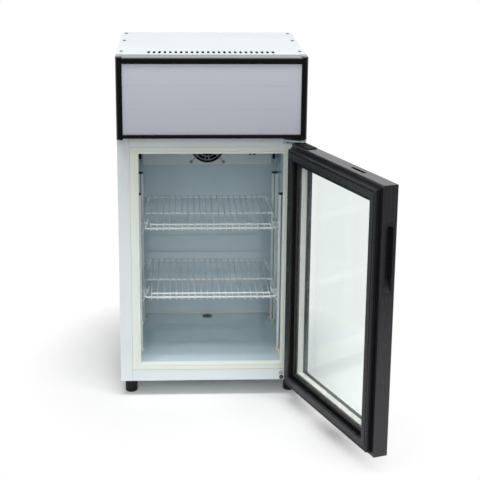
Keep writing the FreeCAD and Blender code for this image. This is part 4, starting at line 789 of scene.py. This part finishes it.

# %% [markdown]
# ## Channels and clips
# The shelves rest on clips, and the clips hook into four slotted channels on the walls. A channel is an
# extrusion with a groove down its front and back, so an outline drawn in plan is raised to its height, and
# the slots are cut out of all four channels with one boolean. The grooves read darker than the faces because
# of the shade in them, so their faces take the darker zinc finish as painted shade; no metal core is known to
# show there. The grooves read darker than the faces, so they take the zinc finish, as if a metal core showed
# there, which is a guess. A clip is bent wire: two arms run out of the channel under the shelf's side wire,
# and two struts slope up to the arms' ends and turn up past them. A flat black cap closes the top of each
# channel.

# %% Shelf channels
CHANNEL_DEPTH, CHANNEL_WIDTH = 13.0 * MM, 16.0 * MM
GROOVE_FROM, GROOVE_TO, GROOVE_DEPTH = 0.38, 0.62, 7.0 * MM
GROOVE_SLACK = 0.01
CHANNEL_EDGE = 0.7 * MM
SLOT_PITCH, SLOT_HEIGHT, SLOT_WIDTH = 34.2 * MM, 9.0 * MM, 3.2 * MM
SLOT_MIDDLE, SLOT_HALF_DEPTH, SLOT_EDGE = 1.5 * MM, 2.5 * MM, 0.4 * MM
SLOT_DROP = 7.6 * MM

channel_low, channel_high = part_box("shelf_pilasters")
channel_face = channel_high.x - CHANNEL_DEPTH
channel_rows = (channel_low.y + CHANNEL_WIDTH / 2, channel_high.y - CHANNEL_WIDTH / 2)
channel_spots = [(side, row) for side in (-1, 1) for row in channel_rows]
first_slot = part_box("shelf_lower")[0].z - SLOT_DROP
steps_below = int((first_slot - channel_low.z) / SLOT_PITCH - 0.5)
steps_above = int((channel_high.z - first_slot) / SLOT_PITCH - 0.5)
slot_levels = [first_slot + SLOT_PITCH * step for step in range(-steps_below, steps_above + 1)]


def channel_outline(side, row):
    """Plan of one channel, from its face to the wall and back, with a groove on both flanks."""
    near_groove = channel_face + CHANNEL_DEPTH * GROOVE_FROM
    far_groove = channel_face + CHANNEL_DEPTH * GROOVE_TO
    half = CHANNEL_WIDTH / 2
    flank = [(channel_face, half - CHANNEL_EDGE), (channel_face + CHANNEL_EDGE, half), (near_groove, half),
             (near_groove, half - GROOVE_DEPTH), (far_groove, half - GROOVE_DEPTH), (far_groove, half),
             (channel_high.x, half)]
    plan = [(x, -reach) for x, reach in flank] + [(x, reach) for x, reach in reversed(flank)]
    return [(side * x, row + reach) for x, reach in plan]


slot_half = Vector((SLOT_HALF_DEPTH, SLOT_WIDTH / 2, SLOT_HEIGHT / 2))
channels, slots = bmesh.new(), bmesh.new()
for side, row in channel_spots:
    outline = channel_outline(side, row)
    foot, head = ([(*spot, level) for spot in outline] for level in (channel_low.z, channel_high.z))
    prism(channels, foot, head)
    for level in slot_levels:
        middle = Vector((side * (channel_face + SLOT_MIDDLE), row, level))
        slab(slots, middle - slot_half, middle + slot_half, SLOT_EDGE)
shape = carved(channels, slots)
# groove faces get the second finish, the darker zinc, as painted shade in the recess
for face in shape.faces:
    spot = face.calc_center_median()
    inward = (abs(spot.x) - channel_face) / CHANNEL_DEPTH
    in_shaded_groove = GROOVE_FROM - GROOVE_SLACK < inward < GROOVE_TO + GROOVE_SLACK
    off_middle = min(abs(spot.y - row) for row in channel_rows)
    upright = abs(face.normal.z) < 0.5
    if upright and in_shaded_groove and off_middle < CHANNEL_WIDTH / 2:
        face.material_index = 1
channel_piece = mesh_piece("shelf_channels", shape)
settle(channel_piece, "cabinet", "pilaster_white", "shelf_pilasters")
# the darker zinc for the groove faces is painted shade
channel_piece.data.materials.append(finish_of_slot["zinc_steel"])
print("slots in each channel", len(slot_levels))

# %% Channel caps
CAP_HEIGHT, CAP_EDGE = 2.2 * MM, 0.5 * MM

shape = bmesh.new()
for side, row in channel_spots:
    slab(shape, Vector((side * channel_face, row - CHANNEL_WIDTH / 2, channel_high.z)),
         Vector((side * channel_high.x, row + CHANNEL_WIDTH / 2, channel_high.z + CAP_HEIGHT)), CAP_EDGE)
settle(mesh_piece("channel_caps", shape), "cabinet", "black_plastic", "pilaster_caps")

# %% Shelf clips
CLIP_WIRE = 1.2 * MM
CLIP_REACH, CLIP_DROP, CLIP_HALF = 14.5 * MM, 29.0 * MM, 4.0 * MM
CLIP_RISE, CLIP_LEAN = 9.0 * MM, 2.0 * MM
CLIP_GAP = 0.3 * MM

clip_runs = []
for node in SHELVES:
    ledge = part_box(node)[0].z - CLIP_GAP - CLIP_WIRE
    for side, row in channel_spots:
        root, tip = side * (channel_face + CLIP_WIRE), side * (channel_face - CLIP_REACH)
        for y in (row - CLIP_HALF, row + CLIP_HALF):
            arm = [Vector((root, y, ledge)), Vector((tip, y, ledge))]
            strut = [Vector((root, y, ledge - CLIP_DROP)), Vector((tip, y, ledge)),
                     Vector((tip - side * CLIP_LEAN, y, ledge + CLIP_RISE))]
            clip_runs += [(arm, CLIP_WIRE, False), (bent(strut, CLIP_WIRE), CLIP_WIRE, False)]
settle(wire_piece("shelf_clip_wires", clip_runs), "cabinet", "pilaster_white", "shelf_clips")

# %% [markdown]
# ## Sealant
# The assembler runs a bead of silicone along the back and sides of the compartment floor and round the foot
# of each channel, and leaves a lump in front of each. A bead from a cartridge is never even, so the wire tool
# is used with a radius that swells and shrinks along the run. Sines of different lengths give the same wobble
# on every run of this script.

# %% Sealant beads
BEAD_RADIUS, BEAD_WOBBLE = 1.6 * MM, 0.4 * MM
WOBBLES = ((1.3, 0), (0.47, 2))
FOOT_BEAD_RADIUS, SIDE_BEAD_RADIUS = 3.6 * MM, 1.3 * MM
LUMP_MM = (4.0, 5.2, 5.8, 5.8, 5.2, 4.0, 2.0)
LUMP_STEP = 4.5 * MM
BEAD_STEP = 6.0 * MM
CHANNEL_LIFT = 2.0 * MM

cover_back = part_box("fan_cover")[1].y
compartment_floor = channel_low.z - CHANNEL_LIFT


def bead_run(points, radius):
    """A run of sealant whose thickness wanders."""
    radii = []
    for i in range(len(points)):
        wander = sum(math.sin(rate * i + start) for rate, start in WOBBLES) / len(WOBBLES)
        radii.append(radius + BEAD_WOBBLE * wander)
    return points, radii, False


def walked(corners):
    """Points at even steps along straight runs between corners."""
    points = []
    for start, end in zip(corners, corners[1:]):
        count = max(1, round((end - start).length / BEAD_STEP))
        points += [start.lerp(end, i / count) for i in range(count)]
    return points + [corners[-1]]


rear_line = [Vector((x, cover_back, compartment_floor)) for x in (-channel_high.x, channel_high.x)]
bead_runs = [bead_run(walked(rear_line), BEAD_RADIUS)]
for side in (-1, 1):
    for row in channel_rows:
        near, far = row - CHANNEL_WIDTH / 2, row + CHANNEL_WIDTH / 2
        corners = [(channel_high.x, near), (channel_face, near), (channel_face, far), (channel_high.x, far)]
        ring = [Vector((side * x, y, channel_low.z)) for x, y in corners]
        bead_runs.append(bead_run(walked(ring), FOOT_BEAD_RADIUS))
        lump_x = side * (channel_face + channel_high.x) / 2
        lump = [Vector((lump_x, near - LUMP_STEP * i, compartment_floor)) for i in range(len(LUMP_MM))]
        bead_runs.append((lump, [radius * MM for radius in LUMP_MM], False))
    wall_line = [Vector((side * channel_high.x, row, compartment_floor)) for row in channel_rows]
    bead_runs.append(bead_run(walked(wall_line), SIDE_BEAD_RADIUS))
settle(wire_piece("sealant_beads", bead_runs), "cabinet", "liner_grey", finish=sealant_finish)

# %% [markdown]
# ## Frame round the opening
# Four lengths of cream profile are cut at 45 degrees and clipped round the opening. Seen from the front each
# bar has a narrow joint beside the sheet, a flat flange, a shallow groove and a rounded nose. The section is
# drawn once as shares of the bar's width, because the uprights are wider than the cross bars. Each bar stays
# a hair short at its mitres, so that those joints show too. The sheets of the front meet above and below the
# frame, and their joints are closed with a thin grey sealant.

# %% Trim bars
TRIM_SKIN, TRIM_GROOVE = 2.0 * MM, 0.9 * MM
MITRE_GAP = 0.15 * MM
TRIM_SIDES = ("trim_bottom", "trim_right", "trim_top", "trim_left")

trim_boxes = {name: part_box(name) for name in TRIM_SIDES}
trim_low = trim_boxes["trim_left"][0]
trim_high = trim_boxes["trim_right"][1]
trim_widths = (trim_boxes["trim_left"][1].x - trim_low.x, trim_boxes["trim_bottom"][1].z - trim_low.z)
face_y, trim_back = trim_low.y, trim_high.y
trim_section = [
    (0.0, face_y + 0.8 * TRIM_SKIN), (0.04, face_y + 0.8 * TRIM_SKIN), (0.04, face_y + 0.5 * TRIM_GROOVE),
    (0.06, face_y), (0.60, face_y), (0.635, face_y + TRIM_GROOVE),
    (0.675, face_y + TRIM_GROOVE), (0.71, face_y), (0.90, face_y), (0.955, face_y + 0.35 * MM),
    (0.988, face_y + 1.1 * MM), (1.0, face_y + 2.4 * MM), (1.0, trim_back), (0.9, trim_back),
    (0.9, face_y + TRIM_SKIN), (0.0, face_y + TRIM_SKIN),
]
trim_rings = corner_rings(trim_low, trim_high, trim_section, trim_widths)
for i, name in enumerate(TRIM_SIDES):
    near = [ring[i] for ring in trim_rings]
    far = [ring[(i + 1) % CORNERS] for ring in trim_rings]
    short = (far[0] - near[0]).normalized() * MITRE_GAP
    shape = bmesh.new()
    prism(shape, [spot + short for spot in near], [spot - short for spot in far])
    settle(mesh_piece(name + "_profile", shape), "cabinet", "cream_trim", name)

# %% Sheet joints
JOINT_BEAD, JOINT_PROUD = 0.4 * MM, 0.1 * MM

joint_finish = grained("grey_joint_sealant", "#8b9497", "#7f888b", 0.50, 5.0, 0.05, IOR=1.41)
joint_spans = ((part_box("base_panel")[0].z, trim_low.z), (trim_high.z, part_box("front_top_strip")[1].z))
joint_runs = []
joint_y = face_y + JOINT_BEAD - JOINT_PROUD
for x in (trim_low.x, trim_high.x):
    for span in joint_spans:
        joint_runs.append(([Vector((x, joint_y, z)) for z in span], JOINT_BEAD, False))
settle(wire_piece("sheet_joint_beads", joint_runs), "cabinet", "white_sheet", finish=joint_finish)

# %% [markdown]
# ## Fan and finger guard
# Behind the guard turns a seven-blade fan. Each blade is a sheet that twists from hub to tip, flatter
# outside where it moves faster, so it is laid out in polar steps: the angle round the axis follows the
# chord, and the depth follows the pitch. The guard is bent wire: four rings on four legs that end in eyes.

# %% Fan rotor
BLADES = 7
HUB_RADIUS, TIP_RADIUS = 18.5 * MM, 42.6 * MM
ROOT_RADIUS = HUB_RADIUS - 1.0 * MM
ROOT_CHORD, TIP_CHORD = 19.0 * MM, 24.0 * MM
ROOT_PITCH, TIP_PITCH = math.radians(44), math.radians(27)
CAMBER = 1.6 * MM
BLADE_SHEET = 1.4 * MM
RADIAL_STEPS, CHORD_STEPS = 8, 6
HUB_ROUND, HUB_CUT = 3.0 * MM, 0.9 * MM


def blade_skin(shape, turn):
    """One twisted blade as a sheet of quads, round the Y axis."""
    rows = []
    for i in range(RADIAL_STEPS + 1):
        share = i / RADIAL_STEPS
        radius = ROOT_RADIUS + (TIP_RADIUS - ROOT_RADIUS) * share
        chord = ROOT_CHORD + (TIP_CHORD - ROOT_CHORD) * share
        pitch = ROOT_PITCH + (TIP_PITCH - ROOT_PITCH) * share
        row = []
        for j in range(CHORD_STEPS + 1):
            along = j / CHORD_STEPS - 0.5
            angle = turn + along * chord * math.cos(pitch) / radius
            depth = along * chord * math.sin(pitch) + CAMBER * (1 - 4 * along * along)
            row.append(shape.verts.new((radius * math.sin(angle), depth, radius * math.cos(angle))))
        rows.append(row)
    for inner, outer in zip(rows, rows[1:]):
        for j in range(CHORD_STEPS):
            shape.faces.new((inner[j], inner[j + 1], outer[j + 1], outer[j]))


def fan_piece(name, node):
    """Blades of one fan, centred on its node, with a sheet thickness."""
    low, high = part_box(node)
    shape = bmesh.new()
    for i in range(BLADES):
        blade_skin(shape, 2 * math.pi * i / BLADES)
    bmesh.ops.recalc_face_normals(shape, faces=shape.faces)
    bmesh.ops.solidify(shape, geom=shape.faces[:], thickness=BLADE_SHEET)
    half = (high.y - low.y) / 2
    hub = [(0, half), (HUB_RADIUS - HUB_ROUND, half), (HUB_RADIUS - HUB_CUT, half - HUB_CUT),
           (HUB_RADIUS, half - HUB_ROUND), (HUB_RADIUS, -half), (0, -half)]
    turned(shape, hub, FRONTWARD)
    bmesh.ops.translate(shape, vec=(low + high) / 2, verts=shape.verts)
    return mesh_piece(name, shape)


rotor = "evaporator_fan_rotor"
settle(fan_piece("fan_blades", rotor), rotor, "black_plastic", rotor)

# %% Finger guard
GUARD_WIRE = 1.1 * MM
GUARD_RINGS = 4
RING_PITCH = 9.0 * MM
EYE_RADIUS = 3.4 * MM
LEG_START = 6.3 * MM
RING_POINTS, EYE_POINTS = 48, 20


def ring_points(centre, radius, count):
    """A circle that faces the front."""
    angles = [2 * math.pi * i / count for i in range(count)]
    return [centre + Vector((radius * math.cos(a), 0, radius * math.sin(a))) for a in angles]


guard_low, guard_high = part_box("fan_guard")
guard_middle = (guard_low + guard_high) / 2
ring_middle = Vector((guard_middle.x, guard_low.y + GUARD_WIRE, guard_middle.z))
leg_middle = Vector((guard_middle.x, guard_high.y - GUARD_WIRE, guard_middle.z))
eye_reach = guard_high.x - guard_middle.x - EYE_RADIUS
guard_runs, guard_eyes = [], []
for i in range(GUARD_RINGS):
    guard_runs.append((ring_points(ring_middle, RING_PITCH * (i + 1), RING_POINTS), GUARD_WIRE, True))
for side_x in (-1, 1):
    for side_z in (-1, 1):
        corner = Vector((side_x, 0, side_z))
        way = corner.normalized()
        eye = leg_middle + corner * eye_reach
        guard_eyes.append(eye)
        guard_runs.append(([leg_middle + way * LEG_START, eye - way * EYE_RADIUS], GUARD_WIRE, False))
        guard_runs.append((ring_points(eye, EYE_RADIUS, EYE_POINTS), GUARD_WIRE, True))
settle(wire_piece("fan_guard_wires", guard_runs), "cabinet", "zinc_steel", "fan_guard")

# %% [markdown]
# ## Top cover
# The sheet over the cooling unit has a row of punched slots with round ends. A flat curve does this neatly:
# the outer line is filled, every line inside it becomes a hole, and an extrusion gives the sheet its
# thickness. The curve is turned into a mesh so that the rear lip can join it.

# %% Top cover with punched slots
VENTS = 24
VENT_PITCH = 12.3 * MM
VENT_WIDTH, VENT_LENGTH = 6.0 * MM, 36.0 * MM
VENT_FROM_FRONT = 44.7 * MM
ARC_STEPS = 8
SHEET = 1.0 * MM
LIP_INSET = 15.3 * MM
WELD = 0.01 * MM


def slot_outline(x, y):
    """A slot with round ends, along y."""
    radius = VENT_WIDTH / 2
    reach = VENT_LENGTH / 2 - radius
    points = []
    for end, base in ((reach, 0), (-reach, math.pi)):
        for step in range(ARC_STEPS + 1):
            angle = base + math.pi * step / ARC_STEPS
            points.append((x + radius * math.cos(angle), y + end + radius * math.sin(angle), 0))
    return points


cover_low, cover_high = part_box("top_cover")
plate = bpy.data.curves.new("cover_plate", "CURVE")
plate.dimensions = "2D"
plate.fill_mode = "BOTH"
plate.extrude = SHEET / 2
add_line(plate, [(cover_low.x, cover_low.y, 0), (cover_high.x, cover_low.y, 0),
                 (cover_high.x, cover_high.y, 0), (cover_low.x, cover_high.y, 0)], True)
for i in range(VENTS):
    vent_x = (i - (VENTS - 1) / 2) * VENT_PITCH
    add_line(plate, slot_outline(vent_x, cover_low.y + VENT_FROM_FRONT), True)
shape = baked(bpy.data.objects.new("cover_plate", plate))
bmesh.ops.remove_doubles(shape, verts=shape.verts, dist=WELD)
bmesh.ops.translate(shape, vec=(0, 0, cover_high.z - SHEET / 2), verts=shape.verts)
block(shape, Vector((cover_low.x + LIP_INSET, cover_high.y - SHEET, cover_low.z)),
      Vector((cover_high.x - LIP_INSET, cover_high.y, cover_high.z - SHEET)))
settle(mesh_piece("top_cover_sheet", shape), "cabinet", "white_sheet", "top_cover")

# %% [markdown]
# ## Screws
# Screws are turned heads with a cross driven into them. A domed profile is swept round, and a cross of two
# bars is taken out with a boolean. The seats are read from the CAD heads: each loose solid of a screw node
# is one seat, and its thin side tells which way the screw faces.

# %% Screws
DOME_STEPS = 5
HEAD_SIDES = 20
RIM_SHARE, CROWN_SHARE = 0.45, 0.35
CROSS_WIDTH, CROSS_REACH, CROSS_LEVEL = 0.34, 0.62, 0.95
HEAD_TURN = 0.6
SEAT_SPREAD = 13.5 * MM


def pan_head(radius, height):
    """A pan head standing on the origin, with its cross recess."""
    dome = [(0, 0), (radius, 0), (radius, height * RIM_SHARE)]
    for step in range(1, DOME_STEPS):
        angle = math.pi / 2 * step / DOME_STEPS
        reach = CROWN_SHARE + (1 - CROWN_SHARE) * math.cos(angle)
        rise = RIM_SHARE + (1 - RIM_SHARE) * math.sin(angle)
        dome.append((radius * reach, height * rise))
    dome.append((0, height))
    head, cross = bmesh.new(), bmesh.new()
    turned(head, dome, SKY, HEAD_SIDES)
    bar_middle = Vector((0, 0, height * CROSS_LEVEL))
    bar_half = Vector((radius * CROSS_REACH, radius * CROSS_WIDTH / 2, height / 2))
    for quarter in (0, math.pi / 2):
        bar = block(cross, bar_middle - bar_half, bar_middle + bar_half)
        bmesh.ops.rotate(cross, matrix=Matrix.Rotation(quarter, 3, "Z"), verts=bar)
    return carved(head, cross)


def screw_piece(name, seats):
    """Heads of a radius and height, each at its place, as one piece."""
    shape = bmesh.new()
    for i, (radius, height, place) in enumerate(seats):
        head = pan_head(radius, height)
        bmesh.ops.transform(head, matrix=place @ Matrix.Rotation(HEAD_TURN * i, 4, "Z"), verts=head.verts)
        mesh = bpy.data.meshes.new(name + "_head")
        head.to_mesh(mesh)
        head.free()
        shape.from_mesh(mesh)
        bpy.data.meshes.remove(mesh)
    print("heads", len(seats))
    return mesh_piece(name, shape)


def solid_boxes(node):
    """Box of each separate solid of a node: its vertices grouped by distance."""
    groups = []
    for vert in frame["nodes"][node].data.vertices:
        group = next((g for g in groups if (g[0] - vert.co).length < SEAT_SPREAD), None)
        if group:
            group.append(vert.co.copy())
        else:
            groups.append([vert.co.copy()])
    return [box_of(group) for group in groups]


cover_seats = []
for low, high in solid_boxes("top_cover_screws"):
    middle = (low + high) / 2
    seat = Matrix.Translation((middle.x, middle.y, low.z))
    cover_seats.append(((high.x - low.x) / 2, high.z - low.z, seat))
# the heads take the darker zinc, which is painted shade
settle(screw_piece("top_cover_pan_heads", cover_seats), "cabinet", "zinc_steel", "top_cover_screws",
       finish=shade_darkened_zinc_finish)

# %% [markdown]
# The hinge screws face two ways: the upper pair to the front, the lower pair to the ground. One more sits in
# the bottom strip and is driven almost flush, so that the gasket can close over it. The guard's screws hold
# its wire eyes to the fan cover.

# %% Hinge and guard screws
GUARD_HEAD_RADIUS, GUARD_HEAD_HEIGHT = 3.6 * MM, 2.0 * MM

strip_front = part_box("base_panel")[0].y
hinge_seats = []
for low, high in solid_boxes("hinge_screws"):
    middle = (low + high) / 2
    size = high - low
    radius = size.x / 2
    if size.z < size.x / 2:
        hinge_seats.append((radius, size.z, Matrix.Translation((middle.x, middle.y, high.z)) @ GROUND))
    else:
        proud = strip_front - low.y if high.y > strip_front else size.y
        seat = Matrix.Translation((middle.x, low.y + proud, middle.z))
        hinge_seats.append((radius, proud, seat @ FRONTWARD))
settle(screw_piece("hinge_pan_heads", hinge_seats), "cabinet", "zinc_steel", "hinge_screws")

guard_seats = []
for eye in guard_eyes:
    seat = Matrix.Translation(eye - Vector((0, GUARD_WIRE, 0))) @ FRONTWARD
    guard_seats.append((GUARD_HEAD_RADIUS, GUARD_HEAD_HEIGHT, seat))
settle(screw_piece("guard_pan_heads", guard_seats), "cabinet", "zinc_steel", finish=brass_finish)

# %% [markdown]
# ## Header post caps
# The header's two end posts are closed on top by flat caps, as hollow mouldings are. The caps stand a
# millimetre proud, and their broken edges draw a bright line round each corner.

# %% Post caps
POST_CAP, POST_CAP_EDGE = 1.0 * MM, 0.4 * MM

shape = bmesh.new()
for low, high in (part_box("header_post_left"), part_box("header_post_right")):
    slab(shape, Vector((low.x, low.y, high.z)), high + Vector((0, 0, POST_CAP)), POST_CAP_EDGE)
settle(mesh_piece("header_post_caps", shape), "cabinet", "black_gloss")

# %% [markdown]
# ## Feet
# The cabinet stands on four black screw-in feet: a fluted grip with a rounded sole, and a flange that turns
# against the base. The profile is turned with its edges broken, because a moulded edge always catches a thin
# highlight, and the flutes are a ripple in the radius.

# %% Feet
FLANGE_RADIUS, GRIP_RADIUS, SOLE_RADIUS = 15.5 * MM, 14.5 * MM, 12.2 * MM
FLANGE_HEIGHT = 5.5 * MM
BREAK = 0.7 * MM
FLUTES, FLUTE_DEPTH = 22, 0.7 * MM
FOOT_SIDES = 88

foot_low, foot_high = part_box("feet")
foot_top = foot_high.z
flange_low = foot_top - FLANGE_HEIGHT
foot_profile = [
    (0, 0), (SOLE_RADIUS, 0), (GRIP_RADIUS - 2 * BREAK, BREAK), (GRIP_RADIUS - 0.6 * BREAK, 2.4 * BREAK),
    (GRIP_RADIUS, 5 * BREAK, FLUTE_DEPTH), (GRIP_RADIUS, flange_low - 2 * BREAK, FLUTE_DEPTH),
    (GRIP_RADIUS, flange_low - BREAK), (FLANGE_RADIUS, flange_low), (FLANGE_RADIUS, foot_top - BREAK),
    (FLANGE_RADIUS - BREAK, foot_top), (0, foot_top),
]
shape = bmesh.new()
for x in (foot_low.x + FLANGE_RADIUS, foot_high.x - FLANGE_RADIUS):
    for y in (foot_low.y + FLANGE_RADIUS, foot_high.y - FLANGE_RADIUS):
        turned(shape, foot_profile, Matrix.Translation((x, y, 0)), FOOT_SIDES, FLUTES)
settle(mesh_piece("feet_turned", shape), "cabinet", "black_plastic", "feet")

# %% [markdown]
# ## Small black pieces
# Three kinds of small black piece close openings in the sheets: a plug with a brass core low on the bottom
# strip, a strip in each air slot beside the fan cover, whose lower end laps over the wall, and a foam slab
# inside the rear slots. The strips and the slab are painted shade: they stand for the shade in the gaps
# beside the fan cover and behind the rear slots. The plug is turned, and the other two are slabs with soft
# edges.

# %% Plug, air slot shade strips and rear slot shade slab
PLUG_PLACE = Vector((170.0, 0, 46.0)) * MM
PLUG_RADIUS, PLUG_PROUD, CORE_RADIUS = 5.0 * MM, 1.6 * MM, 1.9 * MM
CORE_SIDES = 20
AIR_SHADE_LOW, AIR_SHADE_HIGH = 499.0 * MM, 600.0 * MM
AIR_SHADE_NEAR, AIR_SHADE_FAR = 170.4 * MM, 176.6 * MM
AIR_SHADE_PROUD, AIR_SHADE_SUNK, AIR_SHADE_EDGE = 0.9 * MM, 0.1 * MM, 0.35 * MM
VENT_SHADE_LOW, VENT_SHADE_HIGH = Vector((-146.0, 204.6, 672.0)) * MM, Vector((66.0, 207.7, 804.0)) * MM
VENT_SHADE_EDGE = 1.2 * MM

moulded_rubber = finish_of_slot["mount_rubber"]
plug_seat = Matrix.Translation((PLUG_PLACE.x, strip_front, PLUG_PLACE.z)) @ FRONTWARD
plug_profile = [(0, 0), (PLUG_RADIUS, 0), (PLUG_RADIUS, 0.5 * PLUG_PROUD), (0.85 * PLUG_RADIUS, PLUG_PROUD),
                (0.6 * PLUG_RADIUS, PLUG_PROUD), (0.5 * PLUG_RADIUS, 0.5 * PLUG_PROUD), (0, 0.5 * PLUG_PROUD)]
core_profile = [(0, 0), (CORE_RADIUS, 0), (CORE_RADIUS, 0.8 * PLUG_PROUD), (0.6 * CORE_RADIUS, PLUG_PROUD),
                (0, PLUG_PROUD)]
shape = bmesh.new()
turned(shape, plug_profile, plug_seat)
settle(mesh_piece("strip_plug", shape), "cabinet", "black_plastic", finish=moulded_rubber)
shape = bmesh.new()
turned(shape, core_profile, plug_seat, CORE_SIDES)
settle(mesh_piece("strip_plug_core", shape), "cabinet", "zinc_steel", finish=brass_finish)

# painted shade: a dark strip in each air slot beside the fan cover, for the shade in that gap
shape = bmesh.new()
for side in (-1, 1):
    slab(shape, Vector((side * AIR_SHADE_NEAR, cover_back - AIR_SHADE_PROUD, AIR_SHADE_LOW)),
         Vector((side * AIR_SHADE_FAR, cover_back + AIR_SHADE_SUNK, AIR_SHADE_HIGH)), AIR_SHADE_EDGE)
settle(mesh_piece("air_slot_shade_strips", shape), "cabinet", "black_plastic", finish=moulded_rubber)

# painted shade: a dark foam slab behind the rear slots, for the shade inside the cooling unit's compartment
vent_shade_finish = grained(
    "black_vent_shade_foam", "#161617", "#1d1d1e", 0.95, 3.0, 0.9, IOR=1.4, Specular_IOR_Level=0.1)
shape = bmesh.new()
slab(shape, VENT_SHADE_LOW, VENT_SHADE_HIGH, VENT_SHADE_EDGE)
settle(mesh_piece("vent_shade_slab", shape), "cabinet", "black_plastic", finish=vent_shade_finish)

# %% [markdown]
# ## Door gasket
# The gasket is a soft extruded bellows that carries a magnet block, welded into a ring at the corners. Its
# outer flank is pleated, its inner flank is a deep recess that takes a darker matt rubber as painted shade,
# and with the door open it stands relaxed, well proud of the frame. The section is swept round the closed
# door's rectangle and the ring is then turned open with the door, so its object space stays square. Inside
# it, a stiff glazing bead holds the glass.

# %% Gasket
RELAXED_DEPTH, BLOCK_LEVEL = 14.5, 9.0
BELLOWS = [(-4.0, 0), (-4.0, 0.9), (1.5, 2.2), (-3.4, 3.8), (1.5, 5.2), (-2.8, 6.8), (1.5, 8.2)]
BLOCK = [(0, BLOCK_LEVEL), (0, 13.0), (0.8, 13.6), (4.2, 13.6), (4.8, 11.4), (5.6, 11.4), (6.2, 14.1),
         (7.0, RELAXED_DEPTH), (20.6, RELAXED_DEPTH), (22.0, 13.2), (22.0, BLOCK_LEVEL)]
RECESS = [(15.0, 8.2), (15.0, 2.0), (17.0, 0.7), (27.3, 0.7), (27.3, 0)]
GLAZING_BEAD = [(27.5, 0), (27.5, 2.6), (28.3, 3.6), (30.6, 3.6), (32.6, 2.4), (33.0, -1.9), (32.1, -1.9),
                (32.1, 0)]
RING_CREASE = 30.0

door_pin = Vector(door_joint["pos_m"])
door_open = Matrix.Translation(door_pin) @ Matrix.Rotation(DOOR_TURN, 4, "Z") @ Matrix.Translation(-door_pin)
door_shut = door_open.inverted()


def shut_box(node):
    """The box of a door node with the door closed."""
    return box_of([door_shut @ vert.co for vert in frame["nodes"][node].data.vertices])


def door_ring(name, section, low, high):
    """A ring in the door from a section in millimetres of inset and height over the near face of a box."""
    shape = bmesh.new()
    spots = [(inset * MM, low.y + height * MM) for inset, height in section]
    mitred_ring(shape, corner_rings(low, high, spots))
    piece = mesh_piece(name, shape, RING_CREASE)
    piece.matrix_world = door_open
    return piece


gasket_low, gasket_high = shut_box("door_gasket")
gasket_section = BELLOWS + BLOCK + RECESS
gasket = door_ring("gasket_bellows", gasket_section, gasket_low, gasket_high)
settle(gasket, "door", "gasket_rubber", "door_gasket")
# painted shade: the inner recess faces take the darker matt rubber, for the shade in the recess
gasket.data.materials.append(moulded_rubber)
shaded_recess_start = len(gasket_section) - len(RECESS) - 1
for face in gasket.data.polygons:
    face.material_index = 1 if face.index // CORNERS >= shaded_recess_start else 0
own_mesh(gasket)
bead = door_ring("glazing_bead", GLAZING_BEAD, gasket_low, gasket_high)
settle(bead, "door", "gasket_rubber")

# %% [markdown]
# Between the panes a strip of black butyl bonds the spacer to the outer pane. It squeezes out a few
# millimetres past the bar and shows as a dark line beside it.

# %% Butyl strip
BUTYL = [(10.3, 0.05), (15.5, 0.05), (15.5, 0.9), (13.5, 2.2), (10.3, 2.2)]

butyl_finish = grained(
    "extruded_butyl", "#2e363b", "#272e33", 0.45, 9.0, 0.10, IOR=1.51, Specular_IOR_Level=0.3)
butyl = door_ring("butyl_strip", BUTYL, *shut_box("spacer_bar"))
settle(butyl, "door", "gasket_rubber", finish=butyl_finish)

# %% [markdown]
# ## Thermostat knob
# On the back a small knob sets the thermostat. It is moulded with a skirt, a fluted grip and a pointer rib.
# The fluted profile is turned on the knob's own axis, which points out of the rear sheet.

# %% Knob
KNOB_GRIP, KNOB_SKIRT = 13.0 * MM, 2.4 * MM
KNOB_FLUTES, KNOB_FLUTE_DEPTH = 16, 1.4 * MM
KNOB_SIDES = 96
POINTER_HALF, POINTER_EDGE = 0.9 * MM, 0.2 * MM

knob_low, knob_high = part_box("thermostat_knob")
knob_middle = (knob_low + knob_high) / 2
knob_radius, knob_height = (knob_high.x - knob_low.x) / 2, knob_high.y - knob_low.y
knob_seat = Matrix.Translation((knob_middle.x, knob_low.y, knob_middle.z)) @ BACKWARD
knob_profile = [
    (0, 0), (knob_radius, 0), (knob_radius, 0.6 * KNOB_SKIRT), (knob_radius - BREAK, KNOB_SKIRT),
    (KNOB_GRIP, KNOB_SKIRT, KNOB_FLUTE_DEPTH), (KNOB_GRIP, knob_height - 2 * BREAK, KNOB_FLUTE_DEPTH),
    (KNOB_GRIP - 2 * BREAK, knob_height - 0.4 * BREAK), (0, knob_height - 0.4 * BREAK),
]
shape = bmesh.new()
turned(shape, knob_profile, knob_seat, KNOB_SIDES, KNOB_FLUTES)
settle(mesh_piece("thermostat_grip", shape), "thermostat_knob", "black_plastic", "thermostat_knob")
shape = bmesh.new()
slab(shape, Vector((knob_middle.x - POINTER_HALF, knob_high.y - BREAK, knob_middle.z + 2 * BREAK)),
     Vector((knob_middle.x + POINTER_HALF, knob_high.y, knob_middle.z + KNOB_GRIP - 3 * BREAK)), POINTER_EDGE)
settle(mesh_piece("thermostat_pointer", shape), "thermostat_knob", "lamp_lens")
